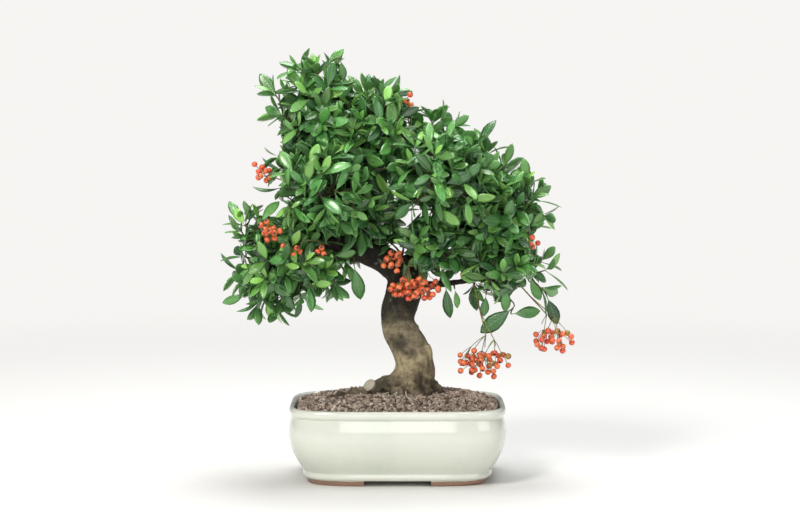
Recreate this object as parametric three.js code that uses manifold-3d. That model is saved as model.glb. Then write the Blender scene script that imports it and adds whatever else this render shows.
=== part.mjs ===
// Scarlet firethorn bonsai in its glazed pot, in millimetres, +Z up, with -Y as the front.
// The origin is on the table, under the middle of the pot.
import * as THREE from 'three';
import { mergeVertices } from 'three/addons/utils/BufferGeometryUtils.js';
import Module from 'manifold-3d';

const wasm = await Module();
wasm.setup();

// Sizes of the pot. Its plan is a superellipse, given by its half width at each height.
const potSquareness = 4.6;
const potDepthLess = 27;
const potColumns = 26;
const potOutside = [
  [92.5, 5.6], [94.6, 7.6], [94.2, 11.4], [93.8, 12.8], [101.0, 23.5], [106.4, 36], [108.2, 49],
  [106.4, 64], [105.4, 66.8], [107.4, 69], [107.4, 73.6], [104.8, 76],
];
const potInside = [[85, 14], [93, 20], [99, 36], [99.8, 70], [102, 77]];
const footOutside = [[88.2, 0], [91, 7]];
const footWidth = 15;
const footHeight = 5.6;
const footGapHalf = [34, 32];
const footGapHalfDeep = [21, 20];
const drainRadius = 9;
const drainOffset = 45;

// Sizes of the mesh screens over the drainage holes
const screenSide = 26;
const screenThickness = 1;
const screenHole = 5.4;
const screenPitch = 7.4;

// Sizes of the grit: its height at the wall, the mound towards the trunk and the relief of its grains
const gritWallHeight = 73.4;
const gritMound = 13;
const gritMoundPower = 2.2;
const gritRelief = 1.3;
const gritRings = [0.91, 0.8, 0.68, 0.56, 0.44, 0.3, 0.14];

// Clearance between pieces that rest on each other
const gap = 0.3;

// Sizes of the leaves and shoots. Whorls, and the places where side shoots start, are shares of a length.
const leafLength = [22, 30];
const leafWidthShare = 0.42;
const leafThickness = 1;
const leafKeel = 1.3;
const leafDroop = 0.1;
const leafStations = [[0.38, 0.8], [0.76, 0.92]];
const leafMiddle = 0.55;
const leafSpread = [1.2, 0.75];
const mainShoot = { length: 31, whorls: [0.5, 1] };
const sideShoot = { length: 25, whorls: [1], lean: 0.9, from: [0.16, 0.26] };
const shootRadius = 1;
const twigRadius = 1.3;
const nodeHeight = 1.5;
const budLength = 2.5;
const sprayDepth = 45;
const sprayLift = 0.22;
const roomAhead = 24;
const goldenAngle = Math.PI * (3 - Math.sqrt(5));

// Sizes of the berries and their stalks
const berryRadius = 3.3;
const stalkRadius = 0.5;
const peduncleRadius = 0.9;
const hubRadius = 1.7;
const stalkLean = 0.45;
const berryTries = 4000;

// How far shoots, leaves and berries keep from the wood and from what belongs to another node
const leafToWood = 3.4;
const leafToBerry = 3.2;
const shootToWood = 1.6;
const endToWood = 4;
const twigToTwig = 0.6;
const outOfWood = 0.5;
const shootToShoot = 5;
const leafToLeaf = 3;
const berryToWood = 1;
const stalkToBerry = 0.7;
const ownRoom = 0.25;
const leafTries = 5;
const shootShares = [0.15, 0.3, 0.45, 0.6, 0.8, 1];
const twigReaches = [6, 14, 22, 0, 30, 38];
const woodSearch = 40;

// The trunk and the limbs: points along each one's middle, each with the radius there
const limbs = {
  trunk: [
    [13, 2, 54, 19], [13.5, 1, 74, 24], [13.8, 0, 90, 25], [16.6, -2, 104, 21.2],
    [16.6, -3, 116, 19.4], [12.5, -3, 129, 18.9], [5.4, -2, 142, 17.9], [0.8, 0, 156, 16.6],
    [1.8, 2, 168, 17], [5.5, 4, 180, 17.6], [8.5, 5, 194, 18], [8, 6, 208, 16], [4, 6, 221, 12],
  ],
  leftLimb: [[9, 5, 200, 14], [-9, 3, 215, 14], [-27, 0, 224, 13], [-46, -3, 230, 11], [-62, -5, 236, 8.5]],
  leader: [
    [-20, 1, 222, 10.5], [-33, 4, 246, 9.5], [-42, 6, 275, 8], [-54, 5, 308, 6.4], [-68, 3, 340, 4.6],
    [-80, 0, 370, 2.4],
  ],
  leftLow: [[-54, -4, 233, 8], [-80, -7, 237, 6.2], [-106, -10, 231, 4.4], [-132, -12, 220, 2.4]],
  leftFront: [[-38, 5, 262, 5.5], [-55, -15, 277, 4.2], [-74, -38, 288, 2.4]],
  leftBack: [[-46, 5, 284, 5.5], [-56, 24, 288, 4.2], [-68, 46, 292, 2.4]],
  topMiddle: [[-54, 5, 306, 5.2], [-42, 0, 324, 4.2], [-24, -6, 342, 2.4]],
  rightLimb: [[10, 6, 202, 13], [26, 8, 222, 11], [38, 7, 248, 8.5], [45, 4, 274, 6.4], [48, 2, 292, 4.4]],
  rightFront: [[44, 4, 268, 4.8], [43, -16, 286, 3.8], [40, -36, 302, 2.4]],
  rightBack: [[45, 5, 274, 4.8], [47, 24, 288, 3.8], [46, 44, 300, 2.4]],
  rightMain: [[32, 8, 234, 7.5], [54, 6, 243, 6.2], [78, 2, 252, 4.6], [102, 0, 262, 2.4]],
  rightLow: [
    [12, 2, 186, 9], [26, -2, 191, 6.2], [46, -5, 194.5, 3.4], [68, -9, 198, 3], [108, -14, 209, 2.2],
  ],
  backLeft: [[4, 10, 204, 8], [-12, 34, 224, 6.2], [-27, 56, 240, 4.2], [-38, 72, 250, 2.4]],
  backRight: [[16, 10, 204, 8], [34, 34, 222, 6], [50, 56, 234, 4.2], [60, 70, 241, 2.4]],
};
const roots = {
  left: [
    [8, -6, 89, 16], [-10, -10, 89.5, 11.5], [-26, -14, 86, 7.6], [-44, -17, 80, 4.8], [-61, -19, 76.8, 3.4],
    [-76, -20, 70, 2.2],
  ],
  sawn: [[-20, -9, 84, 8], [-27.5, -15.5, 92.5, 6.6]],
  frontLeft: [[6, -8, 92, 12], [0, -22, 84, 8.5], [-7, -33, 76, 5]],
  frontRight: [[22, -8, 94, 12], [29, -18, 84, 9], [37, -27, 75, 5]],
  right: [[24, 0, 92, 13], [36, -1, 85, 9], [50, 0, 76, 4.5]],
  backLeft: [[6, 8, 92, 12], [-2, 22, 84, 8], [-9, 33, 75, 4.5]],
  backRight: [[22, 8, 92, 12], [30, 22, 84, 8], [38, 33, 75, 4.5]],
};
const stub = [[14, -4, 152, 6], [21, -5, 149.5, 2.6]];
const trunkSides = 12;
const limbSides = 6;
const thinLimbSides = 5;
const rootSides = 6;
const thinLimbFrom = 6.3;

// The pads of foliage: the middle, the radii along X, Y and Z, and how many sprays are spread on each
const pads = [
  { middle: [-79, 0, 352], radii: [53, 56, 70], sprays: 9 },
  { middle: [-20, -6, 342], radii: [50, 58, 52], sprays: 6 },
  { middle: [42, -45, 303], radii: [56, 50, 52], sprays: 7 },
  { middle: [46, 36, 298], radii: [54, 50, 52], sprays: 7 },
  { middle: [102, 0, 262], radii: [54, 58, 56], sprays: 9 },
  { middle: [112, -14, 212], radii: [48, 50, 42], sprays: 7 },
  { middle: [-74, -51, 290], radii: [52, 46, 48], sprays: 7 },
  { middle: [-68, 38, 290], radii: [54, 48, 50], sprays: 6 },
  { middle: [-112, -6, 220], radii: [64, 60, 56], sprays: 10 },
  { middle: [-40, 48, 248], radii: [50, 38, 42], sprays: 5 },
  { middle: [60, 46, 240], radii: [48, 38, 40], sprays: 5 },
];

// The bunches of berries: the point of the wood that each hangs from, the hubs of its stalks, and the
// middle, radii and number of its berries
const bunches = {
  berries_fork: {
    from: [-3, 0, 226], hubs: [[-4, -24, 229]],
    middle: [-5, -31, 218], radii: [10, 7, 11], count: 8,
  },
  berries_front: {
    from: [16, 0, 212], hubs: [[11, -25, 214], [26, -26, 213]],
    middle: [19, -34, 193], radii: [27, 9, 10], count: 18,
  },
  berries_hanging: {
    from: [92, -12, 205], hubs: [[88, -16, 144], [96, -20, 140]],
    middle: [85, -20, 114], radii: [28, 15, 15], count: 16,
  },
  berries_right: {
    from: [94, -12, 205], hubs: [[149, -10, 164], [156, -15, 162]],
    middle: [156, -12, 138], radii: [21, 15, 12], count: 16,
  },
  berries_left: {
    from: [-112, -11, 229], hubs: [[-121, -46, 250]],
    middle: [-126, -56, 249], radii: [11, 9, 10], count: 6,
  },
  berries_upper_left: {
    from: [-72, -34, 287], hubs: [[-122, -36, 302]],
    middle: [-132, -36, 306], radii: [7, 7, 9], count: 4,
  },
  berries_top: {
    from: [-26, -5, 341], hubs: [[2, -20, 372]],
    middle: [9, -24, 377], radii: [7, 7, 7], count: 3,
  },
  berries_edge: {
    from: [100, 0, 261], hubs: [[127, -28, 244]],
    middle: [134, -32, 238], radii: [7, 7, 8], count: 3,
  },
  berries_back_left: {
    from: [-32, 62, 250], hubs: [[-46, 81, 230]],
    middle: [-54, 85, 215], radii: [15, 9, 10], count: 8,
  },
  berries_back_right: {
    from: [56, 64, 243], hubs: [[70, 81, 219]],
    middle: [75, 84, 204], radii: [15, 9, 10], count: 6,
  },
};

const materials = {
  glaze: new THREE.MeshStandardMaterial({ color: 0xeef0e2, roughness: 0.2, metalness: 0 }),
  screen: new THREE.MeshStandardMaterial({ color: 0x2a2b2a, roughness: 0.6, metalness: 0 }),
  grit: new THREE.MeshStandardMaterial({ color: 0x8f7a70, roughness: 0.95, metalness: 0 }),
  bark: new THREE.MeshStandardMaterial({
    color: 0x5f5440, roughness: 0.85, metalness: 0, side: THREE.DoubleSide,
  }),
  leaf: new THREE.MeshStandardMaterial({ color: 0x2f6b33, roughness: 0.4, metalness: 0 }),
  berry: new THREE.MeshStandardMaterial({ color: 0xe8562a, roughness: 0.35, metalness: 0 }),
};

// Random numbers from 0 to 1 that are the same in every run
function seededRandom(seed) {
  let state = seed;
  return () => {
    state = (state * 1664525 + 1013904223) % 4294967296;
    return state / 4294967296;
  };
}

const point = ([x, y, z]) => new THREE.Vector3(x, y, z);
const between = (a, b, t) => a.clone().lerp(b, t);
const mix = (a, b, t) => a + (b - a) * t;

// A closed geometry as a solid that can be joined and cut
function solidOf(geometry) {
  geometry.deleteAttribute('normal');
  geometry.deleteAttribute('uv');
  const merged = mergeVertices(geometry);
  return new wasm.Manifold(new wasm.Mesh({
    numProp: 3,
    vertProperties: new Float32Array(merged.attributes.position.array),
    triVerts: new Uint32Array(merged.index.array),
  }));
}

// The named mesh of a finished solid
function meshOf(name, solid, material) {
  const { vertProperties, triVerts } = solid.getMesh();
  const geometry = new THREE.BufferGeometry();
  geometry.setAttribute('position', new THREE.BufferAttribute(vertProperties, 3));
  geometry.setIndex(new THREE.BufferAttribute(triVerts, 1));
  geometry.computeVertexNormals();
  const mesh = new THREE.Mesh(geometry, material);
  mesh.name = name;
  return mesh;
}

function joined(solids) {
  return solids.reduce((whole, solid) => whole.add(solid));
}

// A solid from rings of points, each ring turning to the left as seen from the last one
function loft(rings) {
  const columns = rings[0].length;
  const positions = rings.flat().flatMap((p) => [p.x, p.y, p.z]);
  const index = [];
  for (let ring = 0; ring + 1 < rings.length; ring += 1) {
    for (let column = 0; column < columns; column += 1) {
      const here = ring * columns + column;
      const next = ring * columns + ((column + 1) % columns);
      index.push(here, next, next + columns, here, next + columns, here + columns);
    }
  }
  const last = (rings.length - 1) * columns;
  for (let column = 1; column + 1 < columns; column += 1) {
    index.push(0, column + 1, column);
    index.push(last, last + column, last + column + 1);
  }
  const geometry = new THREE.BufferGeometry();
  geometry.setAttribute('position', new THREE.Float32BufferAttribute(positions, 3));
  geometry.setIndex(index);
  return solidOf(geometry);
}

// Any direction square to the given one
function squareTo(axis) {
  const side = new THREE.Vector3(0.31, 1, 0.17);
  return side.addScaledVector(axis, -side.dot(axis)).normalize();
}

// A tube of any number of sides along the given middles, with a radius at each of them
function tube(middles, radii, sides) {
  const rings = [];
  let side = new THREE.Vector3(0.31, 1, 0.17);
  middles.forEach((middle, i) => {
    const before = middles[Math.max(i - 1, 0)];
    const after = middles[Math.min(i + 1, middles.length - 1)];
    const along = after.clone().sub(before).normalize();
    side = side.clone().addScaledVector(along, -side.dot(along)).normalize();
    const other = along.clone().cross(side);
    rings.push(Array.from({ length: sides }, (_, k) => {
      const angle = (2 * Math.PI * k) / sides;
      return middle.clone()
        .addScaledVector(side, radii[i] * Math.cos(angle))
        .addScaledVector(other, radii[i] * Math.sin(angle));
    }));
  });
  return loft(rings);
}

// One ring of the pot's plan
function potRing(halfWidth, height) {
  const halfDepth = halfWidth - potDepthLess;
  const power = 2 / potSquareness;
  return Array.from({ length: potColumns }, (_, k) => {
    const angle = (2 * Math.PI * (k + 0.5)) / potColumns;
    const x = halfWidth * Math.sign(Math.cos(angle)) * Math.abs(Math.cos(angle)) ** power;
    const y = halfDepth * Math.sign(Math.sin(angle)) * Math.abs(Math.sin(angle)) ** power;
    return new THREE.Vector3(x, y, height);
  });
}

const potLoft = (profile) => loft(profile.map(([halfWidth, height]) => potRing(halfWidth, height)));

function box(size, middle) {
  return solidOf(new THREE.BoxGeometry(...size).translate(...middle));
}

// A channel under the pot, wider at the table than at the top
function channel([bottomHalf, topHalf], halfLength, turned) {
  const levels = [[bottomHalf, -1], [topHalf, footHeight]];
  return loft(levels.map(([half, height]) => {
    const [x, y] = turned ? [halfLength, half] : [half, halfLength];
    return [[x, -y], [x, y], [-x, y], [-x, -y]].map(([u, v]) => new THREE.Vector3(u, v, height));
  }));
}

function makePot() {
  const footInside = footOutside[0][0] - footWidth;
  const feet = potLoft(footOutside)
    .subtract(potLoft([[footInside, -1], [footInside, footHeight]]))
    .subtract(channel(footGapHalf, 100, false))
    .subtract(channel(footGapHalfDeep, 120, true));
  let pot = potLoft(potOutside).add(feet).subtract(potLoft(potInside));
  [-drainOffset, drainOffset].forEach((x) => {
    const hole = new THREE.CylinderGeometry(drainRadius, drainRadius, 20, 12);
    pot = pot.subtract(solidOf(hole.rotateX(Math.PI / 2).translate(x, 0, 10)));
  });
  return pot;
}

function makeScreen(x) {
  const height = potInside[0][1] + gap + screenThickness / 2;
  let screen = box([screenSide, screenSide, screenThickness], [x, 0, height]);
  [-1, 0, 1].forEach((column) => [-1, 0, 1].forEach((row) => {
    const middle = [x + column * screenPitch, row * screenPitch, height];
    screen = screen.subtract(box([screenHole, screenHole, 3 * screenThickness], middle));
  }));
  return screen;
}

// Height of the grit where the plan is shrunk to the given share
function gritHeight(share) {
  return gritWallHeight + gritMound * (1 - share ** gritMoundPower);
}

function makeGrit(hole) {
  const random = seededRandom(71);
  const inset = potInside.filter(([, height]) => height < gritWallHeight)
    .map(([halfWidth, height], i) => [halfWidth - gap * 1.5, height + (i === 0 ? gap : 0)]);
  const edge = inset[inset.length - 1][0];
  const rings = [...inset, [edge, gritWallHeight]].map(([halfWidth, height]) => potRing(halfWidth, height));
  gritRings.forEach((share) => {
    const ring = potRing(edge, 0).map((p) => p.multiplyScalar(share));
    ring.forEach((p) => { p.z = gritHeight(share) + gritRelief * (2 * random() - 1); });
    rings.push(ring);
  });
  let grit = loft(rings).subtract(hole);
  [-drainOffset, drainOffset].forEach((x) => {
    const side = screenSide + 2 * gap;
    grit = grit.subtract(box([side, side, 2 * (screenThickness + 2 * gap)], [x, 0, potInside[0][1] + gap]));
  });
  return grit;
}

// Wood, twigs and stalks are also kept as straight stretches, so that what is added keeps clear of them
const woodStretches = [];
const twigStretches = [];
const berryStretches = [];

function smoothPath(points) {
  const curve = new THREE.CatmullRomCurve3(points.map(point), false, 'catmullrom', 0.5);
  const spans = points.length - 1;
  return {
    middles: points.map((_, i) => curve.getPoint(i / spans)),
    radii: points.map(([, , , radius]) => radius),
  };
}

function keepStretches(list, middles, radii) {
  for (let i = 0; i + 1 < middles.length; i += 1) {
    list.push({ a: middles[i], b: middles[i + 1], radius: Math.max(radii[i], radii[i + 1]) });
  }
}

function nearestOn(stretch, p) {
  const span = stretch.b.clone().sub(stretch.a);
  const t = p.clone().sub(stretch.a).dot(span) / Math.max(span.lengthSq(), 1e-6);
  return stretch.a.clone().addScaledVector(span, Math.min(Math.max(t, 0), 1));
}

function nearestWood(p) {
  let best = null;
  woodStretches.forEach((stretch) => {
    const foot = nearestOn(stretch, p);
    const distance = foot.distanceTo(p);
    if (best === null || distance < best.distance) best = { foot, distance, radius: stretch.radius };
  });
  return best;
}

function clearOf(stretches, samples, clearance) {
  return samples.every((p) => stretches.every(
    (stretch) => nearestOn(stretch, p).distanceTo(p) > stretch.radius + clearance,
  ));
}

// A twig that leaves the nearest wood and ends at a point with a given direction. It tries places further
// back along the wood until it is clear of the wood and of the other twigs.
function twigTo(end, direction) {
  for (const reach of twigReaches) {
    const start = nearestWood(end.clone().addScaledVector(direction, -reach));
    const others = [...twigStretches, ...berryStretches];
    const length = start.foot.distanceTo(end);
    const bend = end.clone().addScaledVector(direction, -0.4 * length);
    const curve = new THREE.QuadraticBezierCurve3(start.foot, bend, end);
    const samples = Array.from({ length: 24 }, (_, i) => curve.getPoint((i + 1) / 24))
      .filter((p) => p.distanceTo(start.foot) > start.radius + outOfWood);
    const pastBark = samples.filter((p) => p.distanceTo(start.foot) > start.radius + 2);
    const free = clearOf(others, samples, twigRadius + twigToTwig);
    if (free && clearOf(woodStretches, pastBark, shootToWood)) {
      return [0, 0.5, 1].map((t) => curve.getPoint(t));
    }
  }
  return null;
}

// Where a stem that starts on the middle line of the wood comes out of it, with the clearance added
function outsideWood(foot, next, radius) {
  const along = next.clone().sub(foot).normalize();
  const side = squareTo(along);
  const reaches = [0, 1, 2, 3, 4, 5, 6, 7].map((k) => {
    const around = side.clone().applyAxisAngle(along, (Math.PI * k) / 4);
    const origin = foot.clone().addScaledVector(around, radius);
    const [hit] = new THREE.Raycaster(origin, along, 0, woodSearch).intersectObject(treeMesh);
    return hit ? hit.distance : 0;
  });
  return foot.clone().addScaledVector(along, Math.max(...reaches) + gap);
}

// The part of a twig outside the wood, straight where its bend would be inside
function clippedTwig([foot, bend, end]) {
  const start = outsideWood(foot, bend, twigRadius);
  if (start.distanceTo(foot) + 1 < bend.distanceTo(foot)) return [start, bend];
  return [outsideWood(foot, end, twigRadius)];
}

// The seats of the sprays: spread evenly on each pad, and left out inside another pad or where the twig
// or the main shoot would run into something
function spraySeats() {
  const seats = [];
  pads.forEach((pad) => {
    const middle = point(pad.middle);
    const radii = point(pad.radii);
    for (let i = 0; i < pad.sprays; i += 1) {
      const height = 1 - (2 * (i + 0.5)) / pad.sprays;
      const ring = Math.sqrt(1 - height * height);
      const angle = i * goldenAngle + pad.middle[0];
      const unit = new THREE.Vector3(ring * Math.cos(angle), ring * Math.sin(angle), height);
      const surface = unit.clone().multiply(radii).add(middle);
      const buried = pads.some((other) => other !== pad
        && surface.clone().sub(point(other.middle)).divide(point(other.radii)).length() < 0.9);
      if (!buried) {
        const outward = unit.clone().divide(radii).normalize();
        const direction = outward.add(new THREE.Vector3(0, 0, sprayLift)).normalize();
        const depth = Math.min(sprayDepth, surface.distanceTo(middle) * 0.9);
        const end = surface.addScaledVector(direction, -depth);
        for (let step = 0; step < 5 && !clearOf(woodStretches, [end], endToWood); step += 1) {
          end.addScaledVector(direction, 2);
        }
        const tip = end.clone().addScaledVector(direction, mainShoot.length);
        const samples = shootShares.map((t) => between(end, tip, t));
        const twig = twigTo(end, direction);
        const free = clearOf(twigStretches, samples, shootToShoot)
          && clearOf(woodStretches, samples, shootToWood)
          && clearOf(berryStretches, samples, shootToWood);
        if (twig && free) {
          const seat = { end, direction, twig: clippedTwig(twig), stretches: [] };
          seat.room = end.clone().addScaledVector(direction, roomAhead);
          keepStretches(seat.stretches, [...twig, tip], [twigRadius, twigRadius, shootRadius, shootRadius]);
          twigStretches.push(...seat.stretches);
          seats.push(seat);
        }
      }
    }
  });
  return seats;
}

// Each spray keeps to its own room: the points that are nearer to its middle than to any other
function inOwnRoom(p, seat, seats) {
  return seats.every((other) => {
    if (other === seat) return true;
    const apart = other.room.clone().sub(seat.room);
    const half = between(seat.room, other.room, 0.5);
    return p.clone().sub(half).dot(apart) / apart.length() < -ownRoom;
  });
}

// The outline and the two middle points of a leaf, and the samples that test whether it fits
function leafShape(base, along, face, length) {
  const across = along.clone().cross(face);
  const half = (length * leafWidthShare) / 2;
  const at = (u, v, w) => base.clone()
    .addScaledVector(along, u * length)
    .addScaledVector(across, v * half)
    .addScaledVector(face, w - leafDroop * length * u * u);
  const [[u1, v1], [u2, v2]] = leafStations;
  const corners = [
    at(u1, v1, 0), at(u2, v2, 0), at(1, 0, 0), at(u2, -v2, 0), at(u1, -v1, 0),
    at(leafMiddle, 0, leafThickness / 2 - leafKeel), at(leafMiddle, 0, -leafThickness / 2 - leafKeel),
  ];
  const samples = [
    ...corners, at(0.2, 0, 0), at(0.2, 0.5, 0), at(0.2, -0.5, 0), at(0.57, 1, 0), at(0.57, -1, 0),
    at(0.78, 0, 0), at(0.38, 0, 0), at(0.9, 0.5, 0), at(0.9, -0.5, 0),
  ];
  return { corners, samples };
}

// A closed body that grows corner by corner and triangle by triangle
class Body {
  constructor() {
    this.corners = [];
    this.triangles = [];
  }

  add(points) {
    this.corners.push(...points);
    return this.corners.length - points.length;
  }

  // The wall between two rings of three corners, on one side of them
  wall(low, high, k) {
    const next = (k + 1) % 3;
    this.triangles.push(low[k], low[next], high[next], low[k], high[next], high[k]);
  }

  solid() {
    const geometry = new THREE.BufferGeometry();
    const positions = this.corners.flatMap((p) => [p.x, p.y, p.z]);
    geometry.setAttribute('position', new THREE.Float32BufferAttribute(positions, 3));
    geometry.setIndex(this.triangles);
    return solidOf(geometry);
  }
}

// A leaf in place of one wall between two rings: folded along its midrib and thickest there
function addLeaf(body, low, high, k, leaf) {
  const next = (k + 1) % 3;
  const first = body.add(leaf.corners);
  const edge = [0, 1, 2, 3, 4].map((i) => first + i);
  const upper = [high[next], high[k], ...edge];
  const lower = [low[k], low[next], ...edge.slice().reverse()];
  upper.forEach((corner, i) => body.triangles.push(corner, upper[(i + 1) % 7], first + 5));
  lower.forEach((corner, i) => body.triangles.push(corner, lower[(i + 1) % 7], first + 6));
  body.triangles.push(low[k], edge[0], high[k], low[next], high[next], edge[4]);
}

// A three-sided shoot as one closed body: its twig from the wood, then whorls of three leaves, each in
// place of a wall between two rings where leafAt finds room for one
function shootSolid({ twig, start, heading, length, whorls, roll }, leafAt) {
  const body = new Body();
  const addRing = (middle, along, turn, radius) => {
    const side = squareTo(heading);
    side.addScaledVector(along, -side.dot(along)).normalize();
    const first = body.add([0, 1, 2].map((k) => middle.clone()
      .addScaledVector(side.clone().applyAxisAngle(along, turn + (2 * Math.PI * k) / 3), radius)));
    return [first, first + 1, first + 2];
  };
  const path = [...twig, start];
  const rings = path.map((middle, i) => {
    const along = i + 1 < path.length ? path[i + 1].clone().sub(middle).normalize() : heading;
    return addRing(middle, along, roll, i + 1 < path.length ? twigRadius : shootRadius);
  });
  body.triangles.push(rings[0][0], rings[0][2], rings[0][1]);
  rings.slice(1).forEach((ring, i) => [0, 1, 2].forEach((k) => body.wall(rings[i], ring, k)));
  let below = rings[rings.length - 1];
  whorls.forEach((share, number) => {
    const turn = roll - (number * Math.PI) / 3;
    const middle = start.clone().addScaledVector(heading, share * length);
    const low = addRing(middle.clone().addScaledVector(heading, -nodeHeight), heading, turn, shootRadius);
    const high = addRing(middle, heading, turn, shootRadius);
    [0, 1, 2].forEach((k) => {
      body.wall(below, low, k);
      const outward = squareTo(heading).applyAxisAngle(heading, turn + (2 * Math.PI * (k + 0.5)) / 3);
      const leaf = leafAt(middle, outward, share);
      if (leaf) addLeaf(body, low, high, k, leaf);
      else body.wall(low, high, k);
    });
    below = high;
  });
  const tip = body.add([start.clone().addScaledVector(heading, length + budLength)]);
  [0, 1, 2].forEach((k) => body.triangles.push(below[k], below[(k + 1) % 3], tip));
  return body.solid();
}

// The corners and faces of an icosahedron of radius 1
function icosahedron() {
  const geometry = new THREE.IcosahedronGeometry(1, 0);
  geometry.deleteAttribute('normal');
  geometry.deleteAttribute('uv');
  const merged = mergeVertices(geometry, 1e-3);
  const places = merged.attributes.position;
  const order = Array.from(merged.index.array);
  return {
    corners: Array.from({ length: 12 }, (_, i) => new THREE.Vector3().fromBufferAttribute(places, i)),
    faces: Array.from({ length: 20 }, (_, i) => order.slice(3 * i, 3 * i + 3)),
  };
}

const ball = icosahedron();

function faceMiddle(face) {
  return face.reduce((sum, i) => sum.add(ball.corners[i]), new THREE.Vector3()).normalize();
}

// The stalk of a berry: three corners on its face of the hub, and three where its berry begins
function stalkRings(hub, face, middle) {
  const heading = middle.clone().sub(hub).normalize();
  const side = ball.corners[face[0]].clone();
  side.addScaledVector(heading, -side.dot(heading)).normalize();
  const stalkEnd = middle.clone().addScaledVector(heading, -berryRadius);
  const root = face.map((i) => ball.corners[i].clone().multiplyScalar(hubRadius).add(hub));
  const end = [0, 1, 2].map((k) => stalkEnd.clone()
    .addScaledVector(side.clone().applyAxisAngle(heading, (2 * Math.PI * k) / 3), stalkRadius));
  const walls = [0, 1, 2].flatMap((k) => {
    const next = (k + 1) % 3;
    return [[root[k], root[next], end[next]], [root[k], end[next], end[k]], [root[next], end[next], end[k]]];
  });
  return { heading, side, end, walls };
}

// Whether an edge of one triangle goes through another triangle that has none of its corners
function pierces(one, other) {
  if (one.some((p) => other.some((q) => p.distanceTo(q) < 1e-6))) return false;
  return one.some((from, k) => {
    const edge = one[(k + 1) % 3].clone().sub(from);
    const ray = new THREE.Ray(from, edge.clone().normalize());
    const hit = ray.intersectTriangle(...other, false, new THREE.Vector3());
    return hit !== null && hit.distanceTo(from) < edge.length();
  });
}

const crossing = (one, other) => one.walls.some((wall) => other.walls
  .some((another) => pierces(wall, another) || pierces(another, wall)));

// A hub of stalks with a berry on each, as one closed body: a stalk grows from a face of the hub, and a
// berry's own face opens onto the stalk
function hubSolid(hub, berries) {
  const body = new Body();
  const first = body.add(ball.corners.map((p) => p.clone().multiplyScalar(hubRadius).add(hub)));
  const taken = new Map(berries.map((berry) => [berry.face, berry]));
  const [opening, ...others] = ball.faces;
  const openingMiddle = faceMiddle(opening);
  const openingSide = ball.corners[opening[0]].clone()
    .addScaledVector(openingMiddle, -ball.corners[opening[0]].dot(openingMiddle)).normalize();
  const openingOther = openingMiddle.clone().cross(openingSide);
  ball.faces.forEach((face) => {
    const root = face.map((i) => first + i);
    const berry = taken.get(face);
    if (!berry) {
      body.triangles.push(...root);
      return;
    }
    const { heading, side, end } = berry.rings;
    const other = side.clone().cross(heading);
    const stalkEnd = body.add(end);
    const turned = body.add(ball.corners.map((p) => berry.middle.clone()
      .addScaledVector(side, berryRadius * p.dot(openingSide))
      .addScaledVector(other, berryRadius * p.dot(openingOther))
      .addScaledVector(heading, -berryRadius * p.dot(openingMiddle))));
    const stalkRing = [stalkEnd, stalkEnd + 1, stalkEnd + 2];
    const berryRing = [opening[0], opening[2], opening[1]].map((i) => turned + i);
    [0, 1, 2].forEach((k) => {
      body.wall(root, stalkRing, k);
      body.wall(stalkRing, berryRing, k);
    });
    others.forEach((triangle) => body.triangles.push(...triangle.map((i) => turned + i)));
  });
  return body.solid();
}

// The places of a bunch's berries, each with the face of the hub that its stalk grows from
function berryPlaces(bunch, hubs, index) {
  const random = seededRandom(550 + index);
  const berries = [];
  for (let tries = 0; berries.length < bunch.count && tries < berryTries; tries += 1) {
    const offset = new THREE.Vector3(2 * random() - 1, 2 * random() - 1, 2 * random() - 1);
    const middle = offset.clone().multiply(point(bunch.radii)).add(point(bunch.middle));
    const hub = hubs.reduce((best, one) => (one.distanceTo(middle) < best.distanceTo(middle) ? one : best));
    const heading = middle.clone().sub(hub).normalize();
    const faces = ball.faces.map((face) => ({ face, match: faceMiddle(face).dot(heading) }))
      .filter(({ face }) => !berries.some((other) => other.hub === hub && other.face === face))
      .sort((one, two) => two.match - one.match);
    const [{ face, match }] = faces;
    const rings = stalkRings(hub, face, middle);
    const stalk = { a: hub.clone().addScaledVector(heading, 3), b: middle, radius: stalkRadius };
    const along = [0.2, 0.4, 0.6, 0.8].map((t) => between(hub, middle, t));
    const fits = offset.length() < 1 && match > stalkLean && hub.distanceTo(middle) > berryRadius + 3
      && !crossing(rings, rings)
      && clearOf(woodStretches, [middle], berryRadius + berryToWood) && clearOf(woodStretches, along, 1)
      && berries.every((other) => other.middle.distanceTo(middle) > 2 * berryRadius + 0.25
        && nearestOn(other.stalk, middle).distanceTo(middle) > berryRadius + stalkToBerry
        && nearestOn(stalk, other.middle).distanceTo(other.middle) > berryRadius + stalkToBerry
        && along.slice(1).every((p) => nearestOn(other.stalk, p).distanceTo(p) > 1.1)
        && !(other.hub === hub && crossing(rings, other.rings)));
    if (fits) berries.push({ middle, hub, face, stalk, rings });
  }
  return berries;
}

const group = new THREE.Group();

// The wood
const limbPaths = Object.values(limbs).map(smoothPath);
const rootPaths = Object.values(roots).map(smoothPath);
const stubPath = smoothPath(stub);
limbPaths.forEach(({ middles, radii }) => keepStretches(woodStretches, middles, radii));

function wood(extra) {
  const thicker = ({ middles, radii }, sides) => tube(middles, radii.map((radius) => radius + extra), sides);
  return {
    trunk: thicker(limbPaths[0], trunkSides),
    limbs: limbPaths.slice(1)
      .map((path) => thicker(path, path.radii[0] > thinLimbFrom ? limbSides : thinLimbSides)),
    roots: rootPaths.map((path) => thicker(path, rootSides)),
    stub: thicker(stubPath, thinLimbSides),
  };
}

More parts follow.
